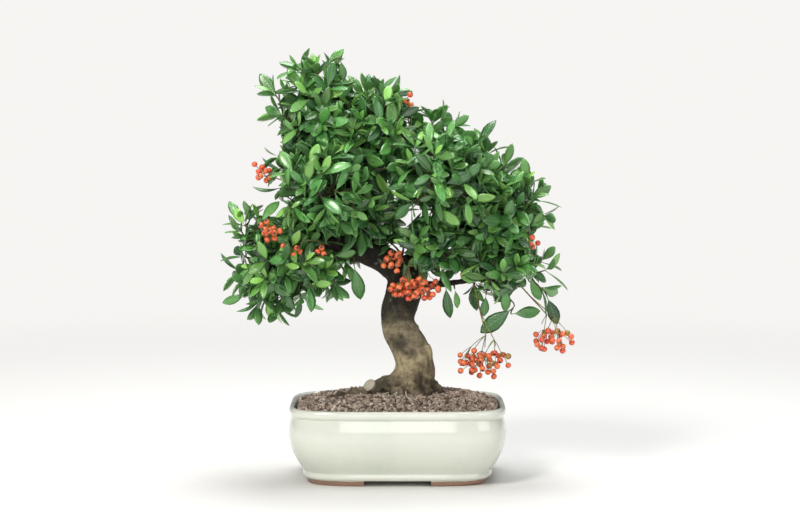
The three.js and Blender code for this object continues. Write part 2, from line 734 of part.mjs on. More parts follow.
const bare = wood(0);
const cleared = wood(gap * 1.3);
const tree = joined([bare.trunk, ...bare.limbs, ...bare.roots, bare.stub]);
const treeMesh = meshOf('tree', tree, materials.bark);
group.add(meshOf('pot', makePot(), materials.glaze));
group.add(meshOf('screen_left', makeScreen(-drainOffset), materials.screen));
group.add(meshOf('screen_right', makeScreen(drainOffset), materials.screen));
group.add(meshOf('grit', makeGrit(joined([cleared.trunk, ...cleared.roots])), materials.grit));
group.add(treeMesh);

// The bunches: a stem from the wood to each hub, and from the hub a thin stalk to each berry
Object.entries(bunches).forEach(([name, bunch], index) => {
  const hubs = bunch.hubs.map(point);
  const berries = berryPlaces(bunch, hubs, index);
  const { foot } = nearestWood(point(bunch.from));
  const start = outsideWood(foot, hubs[0], peduncleRadius);
  const fork = between(start, hubs[0], 0.6);
  const stems = hubs.map((hub, i) => (i === 0 ? [start, hub] : [fork, hub]));
  const radii = [peduncleRadius, peduncleRadius];
  const solids = [
    ...stems.map((stem) => tube(stem, radii, 3)),
    ...hubs.map((hub) => hubSolid(hub, berries.filter((berry) => berry.hub === hub))),
  ];
  [[foot, hubs[0]], ...stems.slice(1)].forEach((stem) => keepStretches(berryStretches, stem, radii));
  berries.forEach(({ middle, stalk }) => {
    berryStretches.push(stalk, { a: middle, b: middle, radius: berryRadius });
  });
  group.add(meshOf(name, joined(solids), materials.berry));
});

// The twigs are placed before any leaf, so that every leaf can keep clear of them
const seats = spraySeats();

// One spray: a main shoot on its twig and one or two side shoots, each with its whorls of leaves
function makeSpray(seat, index) {
  const random = seededRandom(9000 + index);
  const { direction } = seat;
  const start = seat.end;
  const roll = 2 * Math.PI * random();
  const shoots = [{ twig: seat.twig, start, heading: direction, ...mainShoot, roll }];
  sideShoot.from.slice(index % 3 === 0 ? 0 : 1).forEach((share, number) => {
    const lean = squareTo(direction).applyAxisAngle(direction, roll + (2 * Math.PI * number) / 3);
    const heading = direction.clone().addScaledVector(lean, sideShoot.lean).normalize();
    const from = start.clone().addScaledVector(direction, mainShoot.length * share);
    shoots.push({ twig: [], start: from, heading, ...sideShoot, roll: 2 * Math.PI * random() });
  });
  const othersTwigs = twigStretches.filter((stretch) => !seat.stretches.includes(stretch));
  const fits = (samples, toWood, toBerry) => samples.every((p) => inOwnRoom(p, seat, seats))
    && clearOf(woodStretches, samples, toWood) && clearOf(othersTwigs, samples, toWood)
    && clearOf(berryStretches, samples, toBerry);
  const solids = [];
  const earlier = [];
  shoots.forEach((shoot, number) => {
    const end = shoot.start.clone().addScaledVector(shoot.heading, shoot.length);
    const samples = shootShares.map((t) => between(shoot.start, end, t));
    if (number > 0 && !fits(samples, shootToWood, shootToWood)) return;
    const onThisShoot = [];
    const leafAt = (base, outward, share) => {
      const fullLength = mix(...leafLength, random());
      const side = outward.clone().applyAxisAngle(shoot.heading, 0.3 * (random() - 0.5));
      for (let attempt = 0; attempt < leafTries; attempt += 1) {
        const spread = mix(...leafSpread, share) - 0.1 * attempt;
        const along = shoot.heading.clone().multiplyScalar(Math.cos(spread))
          .addScaledVector(side, Math.sin(spread)).normalize();
        const face = shoot.heading.clone().addScaledVector(along, -shoot.heading.dot(along)).normalize();
        const leaf = leafShape(base, along, face, fullLength * (1 - 0.08 * attempt));
        const apart = leaf.samples.every((p) => earlier.every((q) => p.distanceTo(q) > leafToLeaf));
        if (apart && fits(leaf.samples, leafToWood, leafToBerry)) {
          onThisShoot.push(...leaf.samples);
          return leaf;
        }
      }
      return null;
    };
    solids.push(shootSolid(shoot, leafAt));
    earlier.push(...onThisShoot);
  });
  return joined(solids);
}

seats.forEach((seat, index) => {
  const name = `spray_${String(index + 1).padStart(2, '0')}`;
  group.add(meshOf(name, makeSpray(seat, index), materials.leaf));
});

export default group;
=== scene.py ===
# %% [markdown]
# # A scarlet firethorn bonsai
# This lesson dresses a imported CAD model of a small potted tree. The frame holds the plain solids at their
# real size, and each cell below puts a finer piece where one of them stands: the glazed pot, the grit, the
# wood, the leafy sprays and the bunches of berries. Sizes are in millimetres and become metres at the end.

import math
import random

import bmesh
import bpy
import numpy as np
from mathutils import Matrix, Vector, noise


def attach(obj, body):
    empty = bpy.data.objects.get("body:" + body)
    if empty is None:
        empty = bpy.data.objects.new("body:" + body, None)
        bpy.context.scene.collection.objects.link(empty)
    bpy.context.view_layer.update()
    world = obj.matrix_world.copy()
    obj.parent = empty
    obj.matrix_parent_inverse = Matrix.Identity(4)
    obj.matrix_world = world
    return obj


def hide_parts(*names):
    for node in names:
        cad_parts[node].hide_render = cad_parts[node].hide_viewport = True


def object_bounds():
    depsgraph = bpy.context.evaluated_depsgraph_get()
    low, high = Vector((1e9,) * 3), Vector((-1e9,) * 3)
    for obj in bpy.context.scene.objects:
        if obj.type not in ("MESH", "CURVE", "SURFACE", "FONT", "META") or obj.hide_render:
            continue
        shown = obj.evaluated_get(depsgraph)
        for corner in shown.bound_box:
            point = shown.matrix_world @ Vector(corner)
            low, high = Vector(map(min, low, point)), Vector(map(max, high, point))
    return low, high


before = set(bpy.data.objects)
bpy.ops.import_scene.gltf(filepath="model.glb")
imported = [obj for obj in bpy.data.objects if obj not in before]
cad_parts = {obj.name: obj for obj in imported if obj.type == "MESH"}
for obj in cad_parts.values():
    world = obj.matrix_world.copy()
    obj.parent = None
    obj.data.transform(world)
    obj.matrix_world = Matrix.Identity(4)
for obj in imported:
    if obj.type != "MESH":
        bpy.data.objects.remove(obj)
cad_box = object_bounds()
MM = 0.001
print("nodes in the frame:", len(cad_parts))
print("box in mm:", [round(value / MM) for corner in cad_box for value in corner])

# %% [markdown]
# ## Where the camera stands
# A likeness starts with the eye. The pot's rim shows a little of the grit and its feet show no underside, so
# the camera stands a little above the pot, far back, and looks slightly down with a long lens. Settling it
# first lets the crown be shaped for it: leaves that would pass the crown's outline can be left out.

# %% The camera
EYE = Vector((2.5, -2200, 390))
PITCH = math.radians(4.37)
SENSOR_WIDTH = 36
FOCAL_IN_WIDTHS = 2.7575
FAR_CLIP_METRES = 20


def new_object(name, data):
    """An object in the scene that shows the data."""
    new = bpy.data.objects.new(name, data)
    bpy.context.scene.collection.objects.link(new)
    return new


camera = new_object("camera", bpy.data.cameras.new("camera"))
camera.data.sensor_width = SENSOR_WIDTH
camera.data.lens = SENSOR_WIDTH * FOCAL_IN_WIDTHS
camera.data.clip_end = FAR_CLIP_METRES
camera.location = EYE * MM
camera.rotation_euler = (math.pi / 2 - PITCH, 0, 0)
bpy.context.scene.camera = camera
print("lens in mm:", round(camera.data.lens, 1))


# %% [markdown]
# ## Helpers for node trees
# Materials and Geometry Nodes are both node trees. One small helper adds a node, sets it up and joins its
# inputs, so that each tree below reads as a list of steps. The others are the steps that come back often.

# %% Add and join nodes
def feed(tree, socket, value):
    """Joins an input to the output of another node, or sets its value."""
    if isinstance(value, bpy.types.NodeSocket):
        tree.links.new(value, socket)
    else:
        socket.default_value = value


def add_node(tree, kind, inputs=None, **settings):
    """Adds a node with its settings. An input goes by its name or number."""
    new = tree.nodes.new(kind)
    for name, value in settings.items():
        setattr(new, name, value)
    for name, value in (inputs or {}).items():
        feed(tree, new.inputs[name], value)
    return new


def calculated(tree, operation, *values, clamp=False):
    """One step of arithmetic."""
    inputs = dict(enumerate(values))
    return add_node(tree, "ShaderNodeMath", inputs, operation=operation, use_clamp=clamp).outputs[0]


# %% Colours and patterns
def ramp(tree, factor, stops, smooth=False):
    """A colour ramp with stops (place, colour)."""
    new = add_node(tree, "ShaderNodeValToRGB", {"Fac": factor})
    elements = new.color_ramp.elements
    while len(elements) < len(stops):
        elements.new(0.5)
    for element, (place, colour) in zip(elements, stops):
        element.position = place
        element.color = (*colour, 1)
    if smooth:
        new.color_ramp.interpolation = "EASE"
    return new.outputs["Color"]


def mixed(tree, factor, first, second, blend="MIX"):
    """Two colours mixed by a factor. A colour is three numbers, or the output of another node."""
    new = add_node(tree, "ShaderNodeMix", {0: factor}, data_type="RGBA", blend_type=blend)
    for socket, colour in ((new.inputs[6], first), (new.inputs[7], second)):
        feed(tree, socket, (*colour, 1) if isinstance(colour, tuple) else colour)
    return new.outputs[2]


def shaded(tree, colour, shade):
    """A colour multiplied by a shade."""
    return mixed(tree, 1.0, colour, shade, "MULTIPLY")


def scaled(colour, share):
    """A fixed colour, lighter or darker by a share."""
    return tuple(share * value for value in colour)


def noise_pattern(tree, place, scale, detail=3.0, stretch=None, rough=0.5):
    """A noise pattern on the given coordinates, with the scale in waves to the metre."""
    if stretch:
        place = add_node(tree, "ShaderNodeMapping", {"Vector": place, "Scale": stretch}).outputs[0]
    inputs = {"Vector": place, "Scale": scale, "Detail": detail, "Roughness": rough}
    return add_node(tree, "ShaderNodeTexNoise", inputs).outputs[0]


def bumped(tree, height, distance, strength=1.0, before=None):
    """A bump from a height pattern, with its distance in mm, on top of the one before."""
    inputs = {"Height": height, "Distance": distance * MM, "Strength": strength}
    if before:
        inputs["Normal"] = before
    return add_node(tree, "ShaderNodeBump", inputs).outputs[0]


def share_between(tree, value, at_nought, at_one, **settings):
    """A share that is nought at one value and one at another, and stays there beyond them."""
    inputs = {"Value": value, "From Min": at_nought, "From Max": at_one}
    return add_node(tree, "ShaderNodeMapRange", inputs, **settings).outputs[0]


def distance_from(tree, place, middle):
    """The distance in metres from a middle that is given in mm."""
    inputs = {0: place, 1: tuple(Vector(middle) * MM)}
    return add_node(tree, "ShaderNodeVectorMath", inputs, operation="DISTANCE").outputs["Value"]


# %% Start a material
def start_material(name, **values):
    """A material with a Principled shader, its tree and the Object coordinates."""
    material = bpy.data.materials.new(name)
    material.use_nodes = True
    tree = material.node_tree
    shader = tree.nodes["Principled BSDF"]
    for socket, value in values.items():
        shader.inputs[socket.replace("_", " ")].default_value = value
    place = add_node(tree, "ShaderNodeTexCoord").outputs["Object"]
    return material, tree, shader, place


def height_of(tree, place):
    """The height on the piece, in metres."""
    return add_node(tree, "ShaderNodeSeparateXYZ", {"Vector": place}).outputs["Z"]


def stored_value(tree, key):
    """A value that the mesh stores under a name."""
    return add_node(tree, "ShaderNodeAttribute", attribute_name=key).outputs["Fac"]


def pointed_places(tree):
    """Above one half on outer edges, and below it in creases."""
    return add_node(tree, "ShaderNodeNewGeometry").outputs["Pointiness"]


# %% [markdown]
# ## Helpers for meshes
# Every finished piece is a plain mesh whose object sits at the origin. Shapes are worked out in millimetres,
# and one helper turns them into a piece in metres. Another one runs a Geometry Nodes tree on a piece and
# keeps the result as a plain mesh, because instances would be lost when the model is exported.

# %% Make and finish a piece
def piece_from(name, corners, faces, smooth=True, edges=()):
    """A new piece from corners in mm."""
    mesh = bpy.data.meshes.new(name)
    mesh.from_pydata([tuple(Vector(corner) * MM) for corner in corners], list(edges), faces)
    mesh.update()
    if smooth:
        mesh.shade_smooth()
    return new_object(name, mesh)


def evaluated(piece):
    """The piece with its modifiers done and gone, and their result as its plain mesh."""
    graph = bpy.context.evaluated_depsgraph_get()
    mesh = bpy.data.meshes.new_from_object(piece.evaluated_get(graph), depsgraph=graph)
    piece.modifiers.clear()
    piece.data = mesh
    return piece


def coat(piece, material):
    """Gives the whole piece one material."""
    piece.data.materials.clear()
    piece.data.materials.append(material)


def finish_piece(piece, slot, *nodes):
    """Says what the piece rides on and stands for. The slot is not used."""
    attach(piece, "root")
    if nodes:
        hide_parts(*nodes)
    triangles = sum(len(face.vertices) - 2 for face in piece.data.polygons)
    print(f"{piece.name}: {triangles} triangles")


# %% Make and run a Geometry Nodes tree
SOCKET_KINDS = {float: "NodeSocketFloat", int: "NodeSocketInt", bpy.types.Material: "NodeSocketMaterial"}


def new_tree(name, **inputs):
    """A tree with a geometry input and output, and named inputs with their defaults."""
    tree = bpy.data.node_groups.new(name, "GeometryNodeTree")
    for way in ("INPUT", "OUTPUT"):
        tree.interface.new_socket("Geometry", in_out=way, socket_type="NodeSocketGeometry")
    for key, value in inputs.items():
        socket = tree.interface.new_socket(key.replace("_", " "), in_out="INPUT",
                                           socket_type=SOCKET_KINDS[type(value)])
        socket.default_value = value
    return tree, tree.nodes.new("NodeGroupInput"), tree.nodes.new("NodeGroupOutput")


def choice_of(tree, originals):
    """The originals as instances, to pick from by number. The one joined last is number nought."""
    choices = tree.nodes.new("GeometryNodeJoinGeometry")
    for original in originals:
        copy = add_node(tree, "GeometryNodeObjectInfo", {"Object": original, "As Instance": True})
        tree.links.new(copy.outputs["Geometry"], choices.inputs[0])
    return choices.outputs[0]


def real_and_coated(tree, instances, finish):
    """The instances as a real mesh with a material."""
    real = add_node(tree, "GeometryNodeRealizeInstances", {"Geometry": instances}).outputs[0]
    return add_node(tree, "GeometryNodeSetMaterial", {"Geometry": real, "Material": finish}).outputs[0]


def grown(piece, tree, **inputs):
    """Runs a tree on the piece. Inputs go by their names in the tree."""
    modifier = piece.modifiers.new("nodes", "NODES")
    modifier.node_group = tree
    for item in tree.interface.items_tree:
        key = item.name.replace(" ", "_")
        if item.in_out == "INPUT" and key in inputs:
            modifier[item.identifier] = inputs[key]
    return evaluated(piece)


# %% Tubes along a path
RING_START = Vector((0.31, 1, 0.17))


def tube_rings(middles, radii, sides):
    """Rings of corners round a path, turned as little as possible from one to the next."""
    rings = []
    side = RING_START
    for number, middle in enumerate(middles):
        before = middles[max(number - 1, 0)]
        after = middles[min(number + 1, len(middles) - 1)]
        along = (after - before).normalized()
        side = (side - along * side.dot(along)).normalized()
        other = along.cross(side)
        for step in range(sides):
            angle = math.tau * step / sides
            rings.append(middle + (side * math.cos(angle) + other * math.sin(angle)) * radii[number])
    return rings


def piece_of_tubes(name, tubes):
    """A piece of closed tubes, each given by its middles, its radii and how many sides it has."""
    corners, faces = [], []
    for middles, radii, sides in tubes:
        first = len(corners)
        corners += tube_rings(middles, radii, sides)
        for ring in range(len(middles) - 1):
            for step in range(sides):
                here = first + ring * sides + step
                after = first + ring * sides + (step + 1) % sides
                faces.append((here, after, after + sides, here + sides))
        last = first + (len(middles) - 1) * sides
        faces.append(tuple(first + step for step in reversed(range(sides))))
        faces.append(tuple(last + step for step in range(sides)))
    return piece_from(name, corners, faces)


def smooth_line(points, step):
    """A smooth curve through points (x, y, z, radius), with a middle and a radius every step mm."""
    rows = [np.array(point, float) for point in points]
    rows = [2 * rows[0] - rows[1], *rows, 2 * rows[-1] - rows[-2]]
    middles, radii = [], []
    for before, a, b, after in zip(rows, rows[1:], rows[2:], rows[3:]):
        count = max(1, round(float(np.linalg.norm(b[:3] - a[:3])) / step))
        for number in range(count):
            t = number / count
            row = 0.5 * (2 * a + (b - before) * t + (2 * before - 5 * a + 4 * b - after) * t ** 2
                         + (3 * a - before - 3 * b + after) * t ** 3)
            middles.append(Vector(row[:3]))
            radii.append(float(row[3]))
    middles.append(Vector(rows[-2][:3]))
    radii.append(float(rows[-2][3]))
    return middles, radii


# %% [markdown]
# ## The glazed pot
# The real pot is slip-cast stoneware under a cream glaze, with a rolled lip, a groove under it, a body that
# swells and draws in to a base band, and four corner feet of bare clay. Its plan is a rounded rectangle, so a
# superellipse gives every ring from one half width. Lofting such rings keeps all its curves even. The feet
# and the drainage holes are cut, as a potter cuts them, with Boolean modifiers.

# %% The pot's profile
POT_SQUARENESS = 4.6
POT_DEPTH_LESS = 27
POT_COLUMNS = 176
POT_OUTSIDE = [
    (60, 5.6), (91.2, 5.6), (92.4, 5.9), (93.8, 6.9), (94.6, 8.4), (94.5, 10.4), (94.0, 11.7), (93.9, 12.7),
    (95.0, 14.6), (98.2, 19.2), (101.2, 24.2), (104.4, 30.6), (106.6, 37.4), (107.9, 44.4), (108.2, 50.6),
    (107.5, 58), (106.2, 64), (105.5, 66.4), (105.5, 67.2), (106.4, 68.0), (107.3, 69.2), (107.7, 70.8),
    (107.7, 72.4), (107.2, 74.2), (106.0, 75.5), (104.6, 76), (103.2, 75.5), (102.3, 74.2), (101.8, 72),
]
POT_INSIDE = [(101.6, 70), (100.2, 66), (99.4, 50), (99, 36), (96.6, 27), (92, 20), (87, 15.6), (81, 14)]
FOOT_OUTSIDE = [(87.2, 0), (88.4, 0.5), (89.4, 2.2), (90.6, 5), (91.0, 7)]
FOOT_INSIDE = [(73.2, 7), (73.2, 1), (74, 0)]
FOOT_GAP_HALF = 33
FOOT_GAP_HALF_DEEP = 20.5
GAP_PAST_SIDES = 120
GAP_PAST_FRONT = 90
GAP_LOW_Z = -2
GAP_TOP_Z = 12
DRAIN_RADIUS = 9
DRAIN_OFFSET = 45
DRAIN_LOW_Z = 2
DRAIN_TOP_Z = 20
DRAIN_SIDES = 40


def pot_ring(half_width, height):
    """One ring of the pot's plan, from its half width."""
    half_depth = half_width - POT_DEPTH_LESS
    power = 2 / POT_SQUARENESS
    ring = []
    for step in range(POT_COLUMNS):
        angle = math.tau * (step + 0.5) / POT_COLUMNS
        x = half_width * math.copysign(abs(math.cos(angle)) ** power, math.cos(angle))
        y = half_depth * math.copysign(abs(math.sin(angle)) ** power, math.sin(angle))
        ring.append((x, y, height))
    return ring


def pot_loft(name, profile, closed=False):
    """A loft of the pot's rings: capped at both ends, or closed on itself as a ring."""
    corners = [corner for half_width, height in profile for corner in pot_ring(half_width, height)]
    faces = []
    rings = len(profile)
    for ring in range(rings if closed else rings - 1):
        for step in range(POT_COLUMNS):
            here = ring * POT_COLUMNS + step
            after = ring * POT_COLUMNS + (step + 1) % POT_COLUMNS
            above = ((ring + 1) % rings) * POT_COLUMNS
            faces.append((here, after, above + (step + 1) % POT_COLUMNS, above + step))
    if not closed:
        faces.append(tuple(reversed(range(POT_COLUMNS))))
        faces.append(tuple((rings - 1) * POT_COLUMNS + step for step in range(POT_COLUMNS)))
    return piece_from(name, corners, faces)


pot = pot_loft("pot_glazed", POT_OUTSIDE + POT_INSIDE)
feet = pot_loft("feet", FOOT_OUTSIDE + FOOT_INSIDE, closed=True)
print("rings on the pot:", len(POT_OUTSIDE + POT_INSIDE), "on the feet:", len(FOOT_OUTSIDE + FOOT_INSIDE))


# %% Cut the feet and the drainage holes
def cut_or_join(piece, other, operation):
    """One Boolean step, with the other piece removed afterwards."""
    modifier = piece.modifiers.new("boolean", "BOOLEAN")
    modifier.operation = operation
    modifier.solver = "EXACT"
    modifier.object = other
    evaluated(piece)
    bpy.data.objects.remove(other)


def gap_cutter(half_x, half_y):
    """A box round the middle, as high as the feet and a little more."""
    heights = (GAP_LOW_Z, GAP_TOP_Z)
    corners = [(x, y, z) for x in (-half_x, half_x) for y in (-half_y, half_y) for z in heights]
    faces = [(0, 1, 3, 2), (4, 6, 7, 5), (0, 4, 5, 1), (2, 3, 7, 6), (0, 2, 6, 4), (1, 5, 7, 3)]
    return piece_from("gap", corners, faces, smooth=False)


def drain_cutter(x):
    """A round bar that stands at x on the pot's long middle line."""
    angles = [math.tau * k / DRAIN_SIDES for k in range(DRAIN_SIDES)]
    ring = [(x + DRAIN_RADIUS * math.cos(angle), DRAIN_RADIUS * math.sin(angle)) for angle in angles]
    corners = [(*place, z) for z in (DRAIN_LOW_Z, DRAIN_TOP_Z) for place in ring]
    nexts = [(k + 1) % DRAIN_SIDES for k in range(DRAIN_SIDES)]
    faces = [(k, after, DRAIN_SIDES + after, DRAIN_SIDES + k) for k, after in enumerate(nexts)]
    faces += [tuple(reversed(range(DRAIN_SIDES))), tuple(range(DRAIN_SIDES, 2 * DRAIN_SIDES))]
    return piece_from("drain", corners, faces, smooth=False)


cut_or_join(feet, gap_cutter(FOOT_GAP_HALF, GAP_PAST_FRONT), "DIFFERENCE")
cut_or_join(feet, gap_cutter(GAP_PAST_SIDES, FOOT_GAP_HALF_DEEP), "DIFFERENCE")
cut_or_join(pot, feet, "UNION")
for side in (-1, 1):
    cut_or_join(pot, drain_cutter(side * DRAIN_OFFSET), "DIFFERENCE")
print("pot corners:", len(pot.data.vertices))

# %% [markdown]
# ### Glaze and bare clay
# The glaze is a thick cream with a faint green where it pools. It breaks thinner and warmer on the lip and
# the band, and stops short of the ground, so that the feet show pinkish clay. One material covers both: the
# height on the piece decides between glaze and clay, with a little noise so that the edge isn't ruled.

# %% The glaze material
GLAZE_CREAM = (0.70, 0.725, 0.63)
GLAZE_POOLED = (0.64, 0.68, 0.58)
GLAZE_THIN = (0.74, 0.74, 0.66)
GLAZE_SPECK = (0.45, 0.36, 0.24)
GLAZE_ROUGHNESS = 0.16
THIN_AT_EDGES = 0.7
CLAY = (0.42, 0.25, 0.17)
CLAY_ROUGHNESS = 0.78
CLAY_LINE_Z = 5.0
CLAY_LINE_WOBBLE = 1.4
SHARP_FROM = math.radians(38)

glaze, tree, shader, place = start_material("cream_glaze", Coat_Weight=0.6, Coat_Roughness=0.05)
wobble = noise_pattern(tree, place, 60, 2.0)
line = calculated(tree, "MULTIPLY_ADD", wobble, CLAY_LINE_WOBBLE * MM, height_of(tree, place))
is_glaze = calculated(tree, "GREATER_THAN", line, (CLAY_LINE_Z + CLAY_LINE_WOBBLE / 2) * MM)
clouds = noise_pattern(tree, place, 16, 4.0)
cream = ramp(tree, clouds, [(0.35, GLAZE_POOLED), (0.62, GLAZE_CREAM)], smooth=True)
edge = ramp(tree, pointed_places(tree), [(0.5, (0, 0, 0)), (0.56, (1, 1, 1))])
cream = mixed(tree, calculated(tree, "MULTIPLY", edge, THIN_AT_EDGES), cream, GLAZE_THIN)
specks = ramp(tree, noise_pattern(tree, place, 900, 1.0), [(0.74, (0, 0, 0)), (0.78, (1, 1, 1))])
cream = mixed(tree, specks, cream, GLAZE_SPECK)
clay = ramp(tree, noise_pattern(tree, place, 700, 3.0), [(0.35, scaled(CLAY, 0.72)), (0.65, CLAY)])
tree.links.new(mixed(tree, is_glaze, clay, cream), shader.inputs["Base Color"])
smoother = GLAZE_ROUGHNESS - CLAY_ROUGHNESS
rough = calculated(tree, "MULTIPLY_ADD", is_glaze, smoother, CLAY_ROUGHNESS)
tree.links.new(rough, shader.inputs["Roughness"])
ripple = calculated(tree, "MULTIPLY", noise_pattern(tree, place, 28, 2.0), is_glaze)
grain = bumped(tree, noise_pattern(tree, place, 1400, 2.0), 0.25, 0.15)
tree.links.new(bumped(tree, ripple, 1.6, 0.35, grain), shader.inputs["Normal"])

coat(pot, glaze)
pot.data.set_sharp_from_angle(angle=SHARP_FROM)
finish_piece(pot, "glaze", "pot")

# %% [markdown]
# ## The screens under the grit
# A plastic mesh covers each drainage hole. It is hidden from above and shows a little from below, so the CAD
# solids stay, with a dull black plastic.

# %% The screens' material
SCREENS = ("screen_left", "screen_right")
SCREEN_SHADES = [(0.3, (0.012, 0.013, 0.012)), (0.7, (0.03, 0.032, 0.03))]

plastic, tree, shader, place = start_material("screen_plastic", Roughness=0.55)
tint = ramp(tree, noise_pattern(tree, place, 400), SCREEN_SHADES)
tree.links.new(tint, shader.inputs["Base Color"])
for name in SCREENS:
    coat(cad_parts[name], plastic)

# %% [markdown]
# ## Grit
# Bonsai grit is sieved volcanic rock, with grains of two to five millimetres. Drawing each grain isn't
# needed: a Geometry Nodes tree spreads points over the mounded bed, sets one of a few small stones on each,
# and turns and sizes it by a seeded random value. The CAD bed stays below and closes the gaps.

# %% A few stones to copy
STONE_KINDS = 4
STONE_SEED = 40
STONE_POINTS = 13
STONE_HALF_SIZES = (0.62, 0.5, 0.42)


def stretched(vector, shares):
    """A vector with each part multiplied by a share of its own."""
    return Vector([value * share for value, share in zip(vector, shares)])


def random_vector(draw, spread):
    """A vector with three random parts that scatter round nought."""
    return Vector([draw.gauss(0, spread) for _ in range(3)])


def stone_piece(name, seed):
    """A convex stone about 1 mm across, from random points."""
    draw = random.Random(seed)
    mesh = bmesh.new()
    for _ in range(STONE_POINTS):
        direction = random_vector(draw, 1).normalized()
        mesh.verts.new(stretched(direction, STONE_HALF_SIZES) * MM)
    bmesh.ops.convex_hull(mesh, input=mesh.verts)
    bmesh.ops.delete(mesh, geom=[vertex for vertex in mesh.verts if not vertex.link_faces], context="VERTS")
    data = bpy.data.meshes.new(name)
    mesh.to_mesh(data)
    mesh.free()
    return new_object(name, data)


stones = [stone_piece(f"stone_{number}", STONE_SEED + number) for number in range(STONE_KINDS)]
print("faces on a stone:", [len(stone.data.polygons) for stone in stones])

# %% The grit's material
GRIT_SHADES = [(0.0, (0.10, 0.072, 0.058)), (0.2, (0.26, 0.185, 0.150)), (0.45, (0.46, 0.36, 0.285)),
               (0.68, (0.38, 0.35, 0.30)), (0.88, (0.66, 0.54, 0.44)), (1.0, (0.80, 0.72, 0.60))]

grit_finish, tree, shader, place = start_material("volcanic_grit", Roughness=0.92, Specular_IOR_Level=0.25)
shade = ramp(tree, stored_value(tree, "tone"), GRIT_SHADES)
spots = ramp(tree, noise_pattern(tree, place, 1500, 3.0), [(0.35, (0.6, 0.6, 0.6)), (0.7, (1.15, 1.1, 1.05))])
tree.links.new(shaded(tree, shade, spots), shader.inputs["Base Color"])
tree.links.new(bumped(tree, noise_pattern(tree, place, 1900, 3.0), 0.3, 0.6), shader.inputs["Normal"])
print("shades of grit:", len(GRIT_SHADES))

# %% A tree that scatters stones on a surface
GRAIN_SEED = 5
GRAIN_SPACING = 2.0
GRAIN_SMALLEST = 2.4
GRAIN_LARGEST = 4.8
GRAINS_A_SQUARE_METRE = 400000.0
FULL_TURNS = (math.tau, math.tau, math.tau)


def scatter_tree(name, originals, seed):
    """Points with a set spacing, and on each one an original with a random turn, size and tone."""
    tree, start, end = new_tree(name, Spacing=GRAIN_SPACING * MM, Density=GRAINS_A_SQUARE_METRE,
                                Smallest=GRAIN_SMALLEST, Largest=GRAIN_LARGEST, Finish=grit_finish)
    spread = add_node(tree, "GeometryNodeDistributePointsOnFaces",
                      {"Mesh": start.outputs["Geometry"], "Distance Min": start.outputs["Spacing"],
                       "Density Max": start.outputs["Density"], "Seed": seed}, distribute_method="POISSON")
    turn = add_node(tree, "FunctionNodeRandomValue", {"Seed": seed + 1, "Max": FULL_TURNS},
                    data_type="FLOAT_VECTOR")
    size = add_node(tree, "FunctionNodeRandomValue", {"Seed": seed + 2, 2: start.outputs["Smallest"],
                                                      3: start.outputs["Largest"]}, data_type="FLOAT")
    tone = add_node(tree, "FunctionNodeRandomValue", {"Seed": seed + 3}, data_type="FLOAT")
    copies = add_node(tree, "GeometryNodeInstanceOnPoints",
                      {"Points": spread.outputs["Points"], "Instance": choice_of(tree, originals),
                       "Pick Instance": True, "Rotation": turn.outputs["Value"], "Scale": size.outputs[1]})
    toned = add_node(tree, "GeometryNodeStoreNamedAttribute",
                     {"Geometry": copies.outputs[0], "Name": "tone", "Value": tone.outputs[1]},
                     data_type="FLOAT", domain="INSTANCE")
    grains = real_and_coated(tree, toned.outputs[0], start.outputs["Finish"])
    tree.links.new(grains, end.inputs["Geometry"])
    return tree


grit_tree = scatter_tree("grit on its bed", stones, GRAIN_SEED)
print("steps in the grit's tree:", len(grit_tree.nodes))

# %% Lay the grains
BED_WELD = 0.01
BED_FACES_UP = 0.3
BED_LOWEST_Z = 60


def welded(node, distance):
    """A CAD solid as a mesh to edit, with corners that are nearer than a distance in mm joined."""
    mesh = bmesh.new()
    mesh.from_mesh(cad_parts[node].data)
    bmesh.ops.remove_doubles(mesh, verts=mesh.verts, dist=distance * MM)
    return mesh


coat(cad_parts["grit"], grit_finish)
surface = welded("grit", BED_WELD)
sides = [face for face in surface.faces
         if face.normal.z < BED_FACES_UP or face.calc_center_median().z < BED_LOWEST_Z * MM]
bmesh.ops.delete(surface, geom=sides, context="FACES")
data = bpy.data.meshes.new("grit_grains")
surface.to_mesh(data)
surface.free()
grains = grown(new_object("grit_grains", data), grit_tree, Finish=grit_finish)
for stone in stones:
    bpy.data.objects.remove(stone)
finish_piece(grains, "grit")

# %% [markdown]
# ## The wood
# Trunk, roots and limbs grew as one body. The route of each is a short list of points with a radius, nearly
# the same as in the CAD solid. A smooth tube follows each one, and a voxel remesh melts them into one
# skin, which gives the swellings where a limb leaves the trunk. Bark comes after it: every corner is moved
# along its normal by noise, more on thick wood than on thin.

